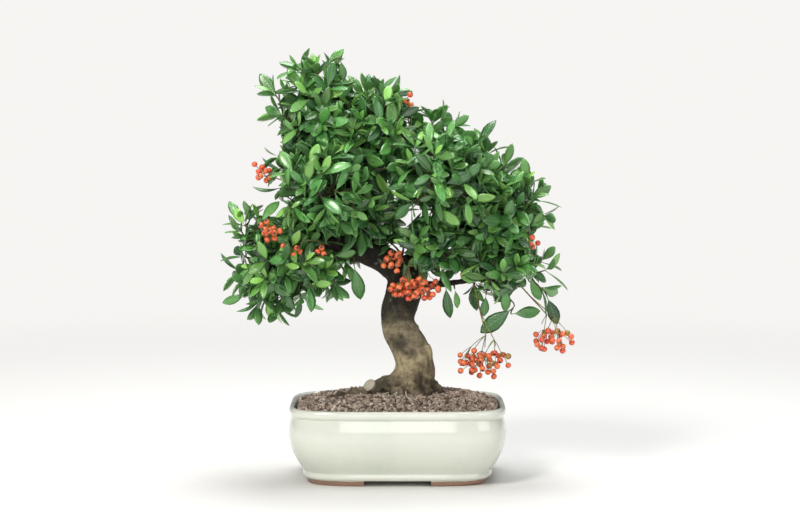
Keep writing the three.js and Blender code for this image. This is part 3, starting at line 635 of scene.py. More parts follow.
# %% Routes of the wood
LIMBS = {
    "trunk": [
        (13, 2, 54, 19), (13.5, 1, 74, 24), (13.8, 0, 90, 25), (16.6, -2, 104, 21.2), (16.6, -3, 116, 19.4),
        (12.5, -3, 129, 18.9), (5.4, -2, 142, 17.9), (0.8, 0, 156, 16.6), (1.8, 2, 168, 17),
        (5.5, 4, 180, 17.6), (8.5, 5, 194, 18), (8, 6, 208, 16), (4, 6, 221, 12)],
    "left_limb": [
        (9, 5, 200, 14), (-9, 3, 215, 14), (-27, 0, 224, 13), (-46, -3, 230, 11), (-62, -5, 236, 8.5)],
    "leader": [
        (-20, 1, 222, 10.5), (-33, 4, 246, 9.5), (-42, 6, 275, 8), (-54, 5, 308, 6.4), (-68, 3, 340, 4.6),
        (-80, 0, 370, 2.4)],
    "left_low": [(-54, -4, 233, 8), (-80, -7, 237, 6.2), (-106, -10, 231, 4.4), (-132, -12, 220, 2.4)],
    "left_front": [(-38, 5, 262, 5.5), (-55, -15, 277, 4.2), (-74, -38, 288, 2.4)],
    "left_back": [(-46, 5, 284, 5.5), (-56, 24, 288, 4.2), (-68, 46, 292, 2.4)],
    "top_middle": [(-54, 5, 306, 5.2), (-42, 0, 324, 4.2), (-24, -6, 342, 2.4)],
    "right_limb": [
        (10, 6, 202, 13), (26, 8, 222, 11), (38, 7, 248, 8.5), (45, 4, 274, 6.4), (48, 2, 292, 4.4)],
    "right_front": [(44, 4, 268, 4.8), (43, -16, 286, 3.8), (40, -36, 302, 2.4)],
    "right_back": [(45, 5, 274, 4.8), (47, 24, 288, 3.8), (46, 44, 300, 2.4)],
    "right_main": [(32, 8, 234, 7.5), (54, 6, 243, 6.2), (78, 2, 252, 4.6), (102, 0, 262, 2.4)],
    "right_low": [
        (12, 2, 186, 9), (26, -2, 191, 6.2), (46, -5, 194.5, 3.4), (68, -9, 198, 3), (108, -14, 209, 2.2)],
    "back_left": [(4, 10, 204, 8), (-12, 34, 224, 6.2), (-27, 56, 240, 4.2), (-38, 72, 250, 2.4)],
    "back_right": [(16, 10, 204, 8), (34, 34, 222, 6), (50, 56, 234, 4.2), (60, 70, 241, 2.4)],
}
ROOTS = {
    "left": [
        (8, -6, 90, 16.5), (-10, -10, 91, 12.5), (-26, -12, 85.6, 8), (-43, -14, 83.4, 6.2),
        (-59, -17, 80.6, 5), (-72, -19, 76, 3.6), (-82, -20, 70, 2.2)],
    "sawn": [(-20, -9, 84, 8), (-27.5, -15.5, 93, 7.3)],
    "front_left": [(6, -8, 92, 12), (0, -22, 84, 8.5), (-7, -33, 76, 5)],
    "front_right": [(22, -8, 94, 12), (29, -18, 84, 9), (37, -27, 75, 5)],
    "right": [(24, 0, 92, 13), (36, -1, 85, 9), (50, 0, 76, 4.5)],
    "back_left": [(6, 8, 92, 12), (-2, 22, 84, 8), (-9, 33, 75, 4.5)],
    "back_right": [(22, 8, 92, 12), (30, 22, 84, 8), (38, 33, 75, 4.5)],
    "stub": [(14, -4, 152, 6), (21, -5, 149.5, 2.6)],
}
WOOD_STEP = 4
WOOD_VOXEL = 1.25
THICK_FROM = 10
THICK_SIDES = 24
THIN_SIDES = 14

routes = [smooth_line(points, WOOD_STEP) for points in [*LIMBS.values(), *ROOTS.values()]]
sides = [THICK_SIDES if max(radii) > THICK_FROM else THIN_SIDES for _, radii in routes]
wood = piece_of_tubes("firethorn_wood", [(*route, count) for route, count in zip(routes, sides)])
remesh = wood.modifiers.new("remesh", "REMESH")
remesh.mode = "VOXEL"
remesh.voxel_size = WOOD_VOXEL * MM
remesh.use_smooth_shade = True
evaluated(wood)
print("wood corners:", len(wood.data.vertices))

# %% [markdown]
# Firethorn bark is smooth and tight, with long shallow ridges that follow the trunk, fine wrinkles, a few
# knots where shoots were pruned away, and one old fissure low on the right. The knots and the fissure are
# named places on the skin; the rest is noise that is stretched along the height.

# %% Bark relief
RIDGE_WAVES = (0.16, 0.16, 0.035)
RIDGE_HEIGHT = 1.5
WRINKLE_WAVES = (0.55, 0.55, 0.9)
WRINKLE_HEIGHT = 0.28
LUMP_WAVES = 0.06
LUMP_SHIFT = Vector((7, 3, 1))
LUMP_HEIGHT = 1.6
FULL_RELIEF_RADIUS = 16
KNOTS = [((3.5, -18, 143), 5.0), ((7, -21, 126), 4.4), ((12, -19, 172), 4.0), ((-12, -10, 216), 4.0)]
KNOT_RIM = 1.2
KNOT_RIM_NARROW = 2.2
KNOT_DIP = 1.5
KNOT_DIP_NARROW = 1.6
KNOT_REACH = 3
FISSURE = [Vector((21, -20, 109)), Vector((24, -20, 99)), Vector((25, -22, 88))]
FISSURE_DEPTH = 3.2
FISSURE_WIDTH = 2.2
FOOT_TOP_Z = 106
FOOT_FADE = 12
GNARL_WAVES = 0.17
GNARL_SHIFT = Vector((2, 9, 5))
GNARL_HEIGHT = 4.2


def wood_distance(points):
    """For each point, its distance from the wood's middle lines and the radius of the wood there."""
    best = np.full(len(points), np.inf)
    radius = np.zeros(len(points))
    for middles, radii in routes:
        for number, middle in enumerate(middles):
            distance = np.linalg.norm(points - np.array(middle), axis=1)
            nearer = distance < best
            best[nearer] = distance[nearer]
            radius[nearer] = radii[number]
    return best, radius


def clamped(value):
    """The value, kept between nought and one."""
    return min(max(value, 0), 1)


def line_distance(point, line):
    """How far a point is from a line through several points."""
    best = math.inf
    for start, end in zip(line, line[1:]):
        span = end - start
        t = clamped((point - start).dot(span) / span.length_squared)
        best = min(best, (point - start - span * t).length)
    return best


def relief(point, thickness):
    """How far the bark stands out at a point, in mm."""
    ridges = noise.noise(stretched(point, RIDGE_WAVES))
    wrinkles = noise.noise(stretched(point, WRINKLE_WAVES))
    lumps = noise.noise(point * LUMP_WAVES + LUMP_SHIFT)
    gnarls = noise.noise(point * GNARL_WAVES + GNARL_SHIFT)
    share = min(thickness / FULL_RELIEF_RADIUS, 1)
    at_foot = clamped((FOOT_TOP_Z - point.z) / FOOT_FADE)
    height = share * (RIDGE_HEIGHT * ridges + LUMP_HEIGHT * lumps) + WRINKLE_HEIGHT * wrinkles
    height += GNARL_HEIGHT * at_foot * gnarls
    for middle, size in KNOTS:
        away = (point - Vector(middle)).length / size
        if away < KNOT_REACH:
            rim = KNOT_RIM * math.exp(-((away - 1) * KNOT_RIM_NARROW) ** 2)
            height += rim - KNOT_DIP * math.exp(-(away * KNOT_DIP_NARROW) ** 2)
    away = line_distance(point, FISSURE) / FISSURE_WIDTH
    return height - FISSURE_DEPTH * math.exp(-away * away)


print("knots in the bark:", len(KNOTS))

# %% Move the skin
SMOOTHING_PASSES = 3

skin = bmesh.new()
skin.from_mesh(wood.data)
for _ in range(SMOOTHING_PASSES):
    bmesh.ops.smooth_vert(skin, verts=skin.verts, factor=0.5,
                          use_axis_x=True, use_axis_y=True, use_axis_z=True)
skin.normal_update()
_, thickness = wood_distance(np.array([vertex.co for vertex in skin.verts]) / MM)
moves = [vertex.normal * relief(vertex.co / MM, radius) * MM for vertex, radius in zip(skin.verts, thickness)]
for vertex, move in zip(skin.verts, moves):
    vertex.co += move
skin.to_mesh(wood.data)
skin.free()
wood.data.shade_smooth()
print("bark moved by up to mm:", round(max(move.length for move in moves) / MM, 2))

# %% [markdown]
# The bark is grey olive low down and nearly black high up, which is painted shade of the crown. The colour
# follows the height on the piece, broken up by noise, with pale scuffs on ridges and dark creases, which are
# partly the bark's own cracks and partly painted shade. A few places low on the trunk are darker, and each of
# them is a named spot with a ragged edge.

# %% The bark material
BARK_PALE = (0.37, 0.305, 0.180)
BARK_MIDDLE = (0.165, 0.138, 0.086)
# Nearly black bark high up is painted shade of the crown.
BARK_CROWN_SHADE = (0.020, 0.016, 0.012)
BARK_FOOT = (0.085, 0.068, 0.048)
BARK_SPOT = (0.045, 0.034, 0.024)
BARK_LICHEN = (0.26, 0.27, 0.17)
# Lighter low down and darker towards the top: the upper stops are painted shade of the crown.
BARK_AND_CROWN_SHADE_BY_HEIGHT = [
    (0.08, BARK_FOOT), (0.20, BARK_PALE), (0.29, BARK_PALE), (0.36, BARK_MIDDLE),
    (0.44, scaled(BARK_MIDDLE, 1.4)), (0.505, scaled(BARK_MIDDLE, 0.32)), (0.66, scaled(BARK_MIDDLE, 0.17)),
    (0.85, BARK_CROWN_SHADE)]
BARK_FROM_Z = 70
BARK_TO_Z = 250
BARK_WOBBLE = 35
# Named places low on the trunk that are made darker, each with a ragged edge.
DARK_SPOTS = [((-16, -16, 93), 20), ((27, -20, 90), 11), ((23, -22, 101), 9), ((12.5, -20, 126), 9),
              ((2.5, -20, 134.5), 11)]
SPOT_CORE = 0.4
SPOT_WOBBLE = 20
SPOT_STRENGTH = 0.8

bark, tree, shader, place = start_material("firethorn_bark", Roughness=0.8, Specular_IOR_Level=0.3)
patches = calculated(tree, "SUBTRACT", noise_pattern(tree, place, 60, 4.0), 0.5)
level = calculated(tree, "MULTIPLY_ADD", patches, BARK_WOBBLE * MM, height_of(tree, place))
level = share_between(tree, level, BARK_FROM_Z * MM, BARK_TO_Z * MM)
tint = ramp(tree, level, BARK_AND_CROWN_SHADE_BY_HEIGHT)
streaks = noise_pattern(tree, place, 240, 8.0, stretch=(1, 1, 0.5), rough=0.75)
scratches = noise_pattern(tree, place, 260, 3.0, stretch=(0.5, 0.5, 1.6))
blotches = noise_pattern(tree, place, 42, 5.0, rough=0.65)
# The last ramp darkens creases: partly the bark's own cracks and partly painted shade.
for pattern, stops in [
        (streaks, [(0.34, (0.42, 0.40, 0.38)), (0.5, (1, 1, 1)), (0.68, (1.4, 1.4, 1.4))]),
        (blotches, [(0.38, (0.42, 0.41, 0.41)), (0.56, (1.1, 1.1, 1.1))]),
        (scratches, [(0.36, (0.86, 0.86, 0.86)), (0.60, (1, 1, 1)), (0.72, (1.3, 1.3, 1.28))]),
        (pointed_places(tree), [(0.42, (0.35, 0.33, 0.3)), (0.5, (1, 1, 1)), (0.58, (1.2, 1.2, 1.2))])]:
    tint = shaded(tree, tint, ramp(tree, pattern, stops))
for middle, reach in DARK_SPOTS:
    wavy = calculated(tree, "MULTIPLY_ADD", patches, SPOT_WOBBLE * MM, distance_from(tree, place, middle))
    spot = share_between(tree, wavy, reach * MM, SPOT_CORE * reach * MM)
    tint = mixed(tree, calculated(tree, "MULTIPLY", spot, SPOT_STRENGTH), tint, BARK_SPOT)
lichen = noise_pattern(tree, place, 90, 6.0, rough=0.7)
lichen = ramp(tree, lichen, [(0.60, (0, 0, 0)), (0.68, (0.5, 0.5, 0.5))])
tree.links.new(mixed(tree, lichen, tint, BARK_LICHEN), shader.inputs["Base Color"])
fine = bumped(tree, noise_pattern(tree, place, 900, 4.0), 0.3, 0.5)
folds = bumped(tree, scratches, 0.5, 0.6, fine)
tree.links.new(bumped(tree, streaks, 1.2, 0.7, folds), shader.inputs["Normal"])

coat(wood, bark)
finish_piece(wood, "bark", "tree")

# %% [markdown]
# A root was sawn off at the left of the flare and shows pale end grain, and a few hair roots lie bleached on
# the grit. Both are small, so each is its own simple piece.

# %% Sawn end
SAWN_MIDDLE = Vector((-28.3, -16.2, 94.0))
SAWN_FACING = Vector((-7.5, -7, 8)).normalized()
SAWN_RADIUS = 7.0
SAWN_DOME = [(-3, 0.96), (-0.4, 1.0), (0.9, 0.93), (1.9, 0.74), (2.5, 0.42), (2.7, 0.16)]
SAWN_SIDES = 26
YEAR_RING_TURNS = 5200
YEAR_RING_SHADES = [(0.2, (0.34, 0.29, 0.21)), (0.8, (0.58, 0.54, 0.43))]

sawn_wood, tree, shader, place = start_material("sawn_wood", Roughness=0.75)
rings = calculated(tree, "MULTIPLY", distance_from(tree, place, SAWN_MIDDLE), YEAR_RING_TURNS)
rings = calculated(tree, "MULTIPLY_ADD", calculated(tree, "SINE", rings), 0.5, 0.5)
tree.links.new(ramp(tree, rings, YEAR_RING_SHADES), shader.inputs["Base Color"])
tree.links.new(bumped(tree, noise_pattern(tree, place, 900, 4.0), 0.3, 0.5), shader.inputs["Normal"])

middles = [SAWN_MIDDLE + SAWN_FACING * along for along, _ in SAWN_DOME]
radii = [SAWN_RADIUS * share for _, share in SAWN_DOME]
sawn = piece_of_tubes("sawn_root_end", [(middles, radii, SAWN_SIDES)])
coat(sawn, sawn_wood)
finish_piece(sawn, "bark")

# %% Hair roots
HAIR_ROOTS = [
    [(2, -24, 90, 0.7), (-6, -34, 85.5, 0.6), (-16, -38, 84.5, 0.5), (-22, -46, 82, 0.3)],
    [(8, -28, 89, 0.8), (10, -38, 84.5, 0.6), (18, -44, 83.5, 0.5), (22, -52, 80, 0.3)],
    [(-8, -24, 88, 0.6), (-14, -30, 86.8, 0.5), (-26, -32, 85, 0.4), (-36, -38, 82, 0.3)],
    [(0, -28, 88, 0.5), (-2, -36, 85.4, 0.5), (4, -44, 83.6, 0.4), (2, -52, 80.5, 0.3)],
    [(32, -18, 88, 0.7), (40, -26, 84, 0.5), (50, -28, 83, 0.4), (58, -34, 80, 0.3)],
]
HAIR_STEP = 3
HAIR_SIDES = 6
HAIR_SHADES = [(0.3, (0.38, 0.31, 0.23)), (0.7, (0.66, 0.6, 0.5))]

hair_root, tree, shader, place = start_material("hair_root", Roughness=0.8)
tree.links.new(ramp(tree, noise_pattern(tree, place, 300), HAIR_SHADES), shader.inputs["Base Color"])
hairs = piece_of_tubes("hair_roots", [(*smooth_line(points, HAIR_STEP), HAIR_SIDES) for points in HAIR_ROOTS])
coat(hairs, hair_root)
finish_piece(hairs, "bark")

# %% [markdown]
# ## One leaf
# A firethorn leaf is 20 to 30 mm long, widest past its middle, folded along the midrib and slightly drooping,
# with a short stalk. Thousands are copied, so each has only a few dozen faces: rows of eight corners round a
# thin blade. The corners also store where they are along and across the leaf, for the midrib and the veins.

# %% Leaf shapes
LEAF_ROWS = [(0.0, 0.06), (0.12, 0.08), (0.25, 0.46), (0.42, 0.84), (0.60, 1.0), (0.77, 0.85), (0.91, 0.45)]
LEAF_UPPER = (-1, -0.5, 0, 0.5, 1)
LEAF_LOWER = (0.5, 0, -0.5)
LEAF_AROUND = len(LEAF_UPPER + LEAF_LOWER)
LEAF_THICKNESS = 0.022
LEAF_DROOP_START = 0.12
LEAF_KINDS = [
    {"width": 0.42, "fold": 0.10, "droop": 0.10, "twist": 0.0},
    {"width": 0.40, "fold": 0.07, "droop": 0.05, "twist": 0.2},
    {"width": 0.33, "fold": 0.18, "droop": 0.20, "twist": -0.25},
    {"width": 0.38, "fold": 0.14, "droop": 0.30, "twist": 0.15},
]


def shape_to_copy(name, corners, faces, **stored):
    """A shape of unit size, for copies that are scaled down, with the values that its corners store."""
    mesh = bpy.data.meshes.new(name)
    mesh.from_pydata(corners, [], faces)
    for key, values in stored.items():
        mesh.attributes.new(key, "FLOAT", "POINT").data.foreach_set("value", values)
    mesh.shade_smooth()
    return new_object(name, mesh)


def leaf_piece(name, width, fold, droop, twist):
    """A leaf one metre long from its stalk at the origin along +Y, facing +Z."""
    corners, faces, along, across, under = [], [], [], [], []

    def corner(u, v, share, side):
        half = width / 2 * share
        lift = fold * half * abs(v) * 2 - droop * u * u
        lean = twist * u * v * half
        corners.append((v * half, u - LEAF_DROOP_START * droop * u, lift + lean + side * LEAF_THICKNESS / 2))
        along.append(u)
        across.append(v * share)
        under.append(1.0 if side < 0 else 0.0)

    for u, share in LEAF_ROWS:
        for v in LEAF_UPPER:
            corner(u, v, share, 0 if abs(v) == 1 else 1)
        for v in LEAF_LOWER:
            corner(u, v, share, -1)
    corner(1.0, 0, 0, 0)
    tip = len(corners) - 1
    for row in range(len(LEAF_ROWS) - 1):
        for step in range(LEAF_AROUND):
            here = row * LEAF_AROUND + step
            after = row * LEAF_AROUND + (step + 1) % LEAF_AROUND
            faces.append((here, after, after + LEAF_AROUND, here + LEAF_AROUND))
    last = tip - LEAF_AROUND
    faces += [(last + step, last + (step + 1) % LEAF_AROUND, tip) for step in range(LEAF_AROUND)]
    faces.append(tuple(reversed(range(LEAF_AROUND))))
    return shape_to_copy(name, corners, faces, along=along, across=across, under=under)


leaf_shapes = [leaf_piece(f"leaf_{number}", **kind) for number, kind in enumerate(LEAF_KINDS)]
print("faces on a leaf:", len(leaf_shapes[0].data.polygons))

# %% [markdown]
# ### Leaf finish
# Old leaves are dark and glossy, with a paler midrib and a dull, pale underside. Young ones at the tips are
# yellow green. The colour of each leaf comes from two values that its point stores: its age and its tone. The
# tone is partly random and partly painted shade, darker for leaves deep in the crown.

# %% The leaf material
# The dark end stands both for old leaves and for painted shade deep in the crown.
LEAF_DARK_AND_SHADED = (0.009, 0.060, 0.015)
LEAF_GREEN = (0.108, 0.385, 0.076)
LEAF_YOUNG = (0.36, 0.74, 0.140)
LEAF_UNDER = (0.12, 0.28, 0.09)
LEAF_RIB = (0.20, 0.46, 0.14)
LEAF_MOTTLE = [(0.3, (0.75, 0.8, 0.75)), (0.7, (1.2, 1.15, 1.1))]
LEAF_ROUGHNESS = 0.3
UNDER_ROUGHNESS = 0.6
UNDER_SHARE = 0.75
RIB_SHARE = 0.55
RIB_NARROW = 14.0
VEIN_SHARE = 0.06
VEIN_TURNS = 62.0
VEIN_SLANT = 14.0
YOUNG_WOOD_SHADES = [(0.3, (0.045, 0.034, 0.018)), (0.55, (0.10, 0.075, 0.035)), (0.75, (0.12, 0.14, 0.05))]

leaf_finish, tree, shader, place = start_material("firethorn_leaf", Coat_Weight=0.7, Coat_Roughness=0.2)
# The tone mixes random leaf colour with painted shade: leaves deep in the crown get a darker tone.
green = mixed(tree, stored_value(tree, "tone"), LEAF_DARK_AND_SHADED, LEAF_GREEN)
green = shaded(tree, green, ramp(tree, noise_pattern(tree, place, 260, 3.0), LEAF_MOTTLE))
green = mixed(tree, stored_value(tree, "youth"), green, LEAF_YOUNG)
side_share = calculated(tree, "ABSOLUTE", stored_value(tree, "across"))
rib = calculated(tree, "MULTIPLY", side_share, RIB_NARROW)
rib = calculated(tree, "SUBTRACT", 1.0, rib, clamp=True)
slant = calculated(tree, "MULTIPLY", side_share, -VEIN_SLANT)
veins = calculated(tree, "MULTIPLY_ADD", stored_value(tree, "along"), VEIN_TURNS, slant)
veins = calculated(tree, "SINE", veins)
green = mixed(tree, calculated(tree, "MULTIPLY_ADD", veins, VEIN_SHARE, VEIN_SHARE), green, LEAF_RIB)
green = mixed(tree, calculated(tree, "MULTIPLY", rib, RIB_SHARE), green, LEAF_RIB)
under = stored_value(tree, "under")
green = mixed(tree, calculated(tree, "MULTIPLY", under, UNDER_SHARE), green, LEAF_UNDER)
tree.links.new(green, shader.inputs["Base Color"])
rough = calculated(tree, "MULTIPLY_ADD", under, UNDER_ROUGHNESS - LEAF_ROUGHNESS, LEAF_ROUGHNESS)
tree.links.new(rough, shader.inputs["Roughness"])
tree.links.new(bumped(tree, calculated(tree, "ADD", veins, rib), 0.18, 0.5), shader.inputs["Normal"])

stem_finish, tree, shader, place = start_material("young_wood", Roughness=0.6)
tree.links.new(ramp(tree, noise_pattern(tree, place, 120), YOUNG_WOOD_SHADES), shader.inputs["Base Color"])
print("finishes for the sprays:", leaf_finish.name, stem_finish.name)

# %% [markdown]
# ## A tree that grows leaves and stems
# Sprays and berry bunches are built alike: thin stems that follow lines, and copies of a shape at points. One
# Geometry Nodes tree does both. Its input mesh has edges for the stems, with a thickness at each corner, and
# loose corners for the copies, with a turn, a size and a kind. The originals are joined backwards, so that
# the first of them is kind nought.

# %% The growth tree
STEM_SIDES = 5


def named(tree, key, kind):
    """A value that the input mesh stores under a name."""
    new = add_node(tree, "GeometryNodeInputNamedAttribute", {"Name": key}, data_type=kind)
    return new.outputs["Attribute"]


def growth_tree(name, originals):
    """Tubes along the edges of the input mesh, and copies of the originals at its loose corners."""
    tree, start, end = new_tree(name, Stem_sides=STEM_SIDES, Size=1.0, Stem_finish=stem_finish,
                                Copy_finish=leaf_finish)
    parts = add_node(tree, "GeometryNodeSeparateGeometry",
                     {"Geometry": start.outputs["Geometry"], "Selection": named(tree, "is_copy", "BOOLEAN")})
    lines = add_node(tree, "GeometryNodeMeshToCurve", {"Mesh": parts.outputs["Inverted"]})
    profile = add_node(tree, "GeometryNodeCurvePrimitiveCircle",
                       {"Radius": 1.0, "Resolution": start.outputs["Stem sides"]})
    tubes = add_node(tree, "GeometryNodeCurveToMesh",
                     {"Curve": lines.outputs[0], "Profile Curve": profile.outputs[0],
                      "Scale": named(tree, "thick", "FLOAT"), "Fill Caps": True})
    stems = add_node(tree, "GeometryNodeSetMaterial",
                     {"Geometry": tubes.outputs[0], "Material": start.outputs["Stem finish"]})

    size = calculated(tree, "MULTIPLY", named(tree, "size", "FLOAT"), start.outputs["Size"])
    copies = add_node(tree, "GeometryNodeInstanceOnPoints",
                      {"Points": parts.outputs["Selection"], "Instance": choice_of(tree, reversed(originals)),
                       "Pick Instance": True, "Instance Index": named(tree, "kind", "INT"),
                       "Rotation": named(tree, "turn", "FLOAT_VECTOR"), "Scale": size})
    both = tree.nodes.new("GeometryNodeJoinGeometry")
    tree.links.new(real_and_coated(tree, copies.outputs[0], start.outputs["Copy finish"]), both.inputs[0])
    tree.links.new(stems.outputs[0], both.inputs[0])
    tree.links.new(both.outputs[0], end.inputs["Geometry"])
    return tree


spray_tree = growth_tree("firethorn spray", leaf_shapes)
print("steps in the spray's tree:", len(spray_tree.nodes))


# %% Lines and points to grow on
class Growth:
    """The lines and points of one spray or bunch, in mm."""

    def __init__(self):
        self.corners, self.edges, self.thick = [], [], []
        self.copies = []

    def stem(self, middles, radii):
        """A stem along some middles, with a radius at each."""
        first = len(self.corners)
        self.corners += middles
        self.thick += radii
        self.edges += [(first + number, first + number + 1) for number in range(len(middles) - 1)]

    def copy(self, place, turn, size, kind, **values):
        """A copy at a place, turned by a matrix, with values that its material reads."""
        self.copies.append((place, turn.to_euler(), size, kind, values))

    def build(self, name, tree, **inputs):
        """Stores the lines and points in a mesh, and runs the tree on it."""
        stems, copies = len(self.corners), len(self.copies)
        places, turns, sizes, kinds, values = zip(*self.copies)
        piece = piece_from(name, [*self.corners, *places], [], smooth=False, edges=self.edges)

        def store(key, kind, on_stems, on_copies, field="value"):
            attribute = piece.data.attributes.new(key, kind, "POINT")
            attribute.data.foreach_set(field, [*on_stems, *on_copies])

        nothing = [0.0] * stems
        store("is_copy", "BOOLEAN", [False] * stems, [True] * copies)
        store("thick", "FLOAT", [radius * MM for radius in self.thick], [0.0] * copies)
        store("size", "FLOAT", nothing, [size * MM for size in sizes])
        store("kind", "INT", [0] * stems, kinds)
        store("turn", "FLOAT_VECTOR", nothing * 3, [angle for turn in turns for angle in turn], "vector")
        for key in sorted(values[0]):
            store(key, "FLOAT", nothing, [row[key] for row in values])
        return grown(piece, tree, **inputs)


# %% [markdown]
# ## Reading the leaves of the frame
# Each CAD spray already has its leaves in the right places: a fan of seven corners on a three-sided shoot.
# The finer leaves have to stand exactly there. A CAD leaf can be found by its shape alone: the middle of its
# upper face and the middle of its lower face share the five corners of its outline.

# %% Read a spray
SPRAY_WELD = 0.002
ROUND_A_MIDDLE = 7
LEAF_OUTLINE = 5
LEAF_THICKEST = 1.3


def leaf_turn(across, along):
    """The turn of a leaf whose width runs along one direction and whose length along the other."""
    along = along.normalized()
    across = (across - along * across.dot(along)).normalized()
    return Matrix((across, along, across.cross(along))).transposed()


def middle_of(corners):
    """The middle of some corners of a mesh."""
    return sum((corner.co for corner in corners), Vector()) / len(corners)


def read_spray(node):
    """The leaves (base, turn, length) of a CAD spray, in mm."""
    mesh = welded(node, SPRAY_WELD)
    near = {vertex: {edge.other_vert(vertex) for edge in vertex.link_edges} for vertex in mesh.verts}
    middles = [vertex for vertex in mesh.verts if len(near[vertex]) == ROUND_A_MIDDLE]
    leaves = []
    for number, upper in enumerate(middles):
        for lower in middles[number + 1:]:
            outline = near[upper] & near[lower]
            if len(outline) != LEAF_OUTLINE or (upper.co - lower.co).length >= LEAF_THICKEST * MM:
                continue
            base = middle_of((near[upper] | near[lower]) - outline)
            *rim, tip = sorted(outline, key=lambda vertex: (vertex.co - base).length)
            across = rim[0].co - rim[1].co
            along = tip.co - base
            if across.cross(along).dot(middle_of(rim) - (upper.co + lower.co) / 2) < 0:
                across = -across
            leaves.append((base / MM, leaf_turn(across, along), along.length / MM))
    mesh.free()
    return leaves


spray_names = sorted(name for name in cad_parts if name.startswith("spray_"))
cad_sprays = {name: read_spray(name) for name in spray_names}
print("leaves read:", sum(map(len, cad_sprays.values())), "in", len(spray_names), "sprays")

# %% [markdown]
# ## The crown's form
# Seen from the front, the crown rises to a tip at the left, steps down to the right, and has a low lobe at
# the left and a hanging one at the right. Its pads are ellipsoids, the same that the sprays of the frame
# stand on. A drawn outline, as the camera sees it on the plane through the pot's middle, trims what
# would grow past it, and a few windows keep the gaps where light shows through and the berries in view.

# %% Pads, outline and windows
# A pad or a gap is a middle and radii. A view of berries also has the depth that it is kept free up to.
PADS = [
    ((-79, 0, 352), (53, 56, 70)), ((-20, -6, 342), (50, 58, 52)), ((42, -45, 303), (56, 50, 52)),
    ((46, 36, 298), (54, 50, 52)), ((102, 0, 262), (54, 58, 56)), ((112, -14, 212), (48, 50, 42)),
    ((-74, -51, 290), (52, 46, 48)), ((-68, 38, 290), (54, 48, 50)), ((-112, -6, 220), (64, 60, 56)),
    ((-40, 48, 248), (50, 38, 42)), ((60, 46, 240), (48, 38, 40)),
]
OUTLINE = [
    (-54.5, 432), (-53, 412), (-47, 400), (-26, 406), (-4, 405), (14, 392), (6, 380), (22, 370), (36, 375),
    (53, 372), (72, 362), (80, 354), (90, 345), (104, 340), (115, 328), (133, 320), (136, 300), (142, 286),
    (139, 272), (151, 267), (158, 252), (141, 243), (134, 232), (149, 221), (148, 213), (139, 206),
    (138, 196), (126, 191), (114, 185), (104, 176), (96, 170), (83, 177), (73, 186), (59, 190), (59, 164),
    (51, 158), (43, 176), (43, 191), (30, 200), (-15, 212),
    (-34, 214), (-36, 182), (-45, 182), (-47, 208), (-56, 180), (-76, 169), (-97, 176), (-106, 161),
    (-117, 154), (-139, 151), (-147, 166), (-165, 176), (-187, 160), (-189, 164), (-170, 188), (-168, 204),
    (-160, 214), (-158, 226), (-175, 256), (-157, 278), (-145, 272), (-136, 262), (-116, 268), (-118, 286),
    (-125, 306), (-122, 327), (-134, 322), (-117, 337), (-121, 350), (-114, 363), (-122, 375), (-133, 386),
    (-127, 399), (-112, 405), (-107, 415), (-113, 419), (-97, 422), (-79, 425), (-69, 417),
]
GAPS = [
    ((14, 266), (13, 11)), ((34, 264), (6, 9)), ((-60, 279), (8, 6)), ((-54, 295), (12, 6)),
    ((-111, 283), (8, 4)),
]
BERRY_VIEWS = [
    ((-5.5, 219), (12, 13), -20), ((18.5, 193), (30, 13), -20), ((-126, 250), (11, 10), -46),
    ((-133, 308), (8, 9), -30), ((9, 377), (7, 7), -16), ((134, 238), (6, 6), -22), ((-75, 229), (7, 6), -30),
    ((-99, 229), (9, 6), -40), ((-18, 206), (22, 10), -5),
]
print("outline corners:", len(OUTLINE), "gaps:", len(GAPS))

# %% What the form allows
LEAF_MIDDLE = 0.6


def seen_at(point):
    """Where a point is seen on the plane through the pot's middle, as (x, z) in mm."""
    share = -EYE.y / (point.y - EYE.y)
    return EYE.x + (point.x - EYE.x) * share, EYE.z + (point.z - EYE.z) * share


def inside_outline(place):
    """Whether a line from the place to the side crosses the outline an odd number of times."""
    x, z = place
    inside = False
    for (x1, z1), (x2, z2) in zip(OUTLINE, OUTLINE[1:] + OUTLINE[:1]):
        if (z1 > z) != (z2 > z) and x < (x2 - x1) * (z - z1) / (z2 - z1) + x1:
            inside = not inside
    return inside


def within(place, middle, radii):
    """Whether a place lies inside an ellipse."""
    return sum(((value - centre) / radius) ** 2 for value, centre, radius in zip(place, middle, radii)) < 1


def leaf_allowed(base, tip):
    """Whether a leaf keeps to the crown's outline, its gaps and the views of the berries."""
    for point in (base.lerp(tip, LEAF_MIDDLE), tip):
        place = seen_at(point)
        if not inside_outline(place) or any(within(place, *gap) for gap in GAPS):
            return False
        if any(point.y < depth and within(place, centre, radii) for centre, radii, depth in BERRY_VIEWS):
            return False
    return True


on_the_floor = Vector((0, -100, 0))
print("a point on the floor 100 mm in front is seen at:", [round(value) for value in seen_at(on_the_floor)])
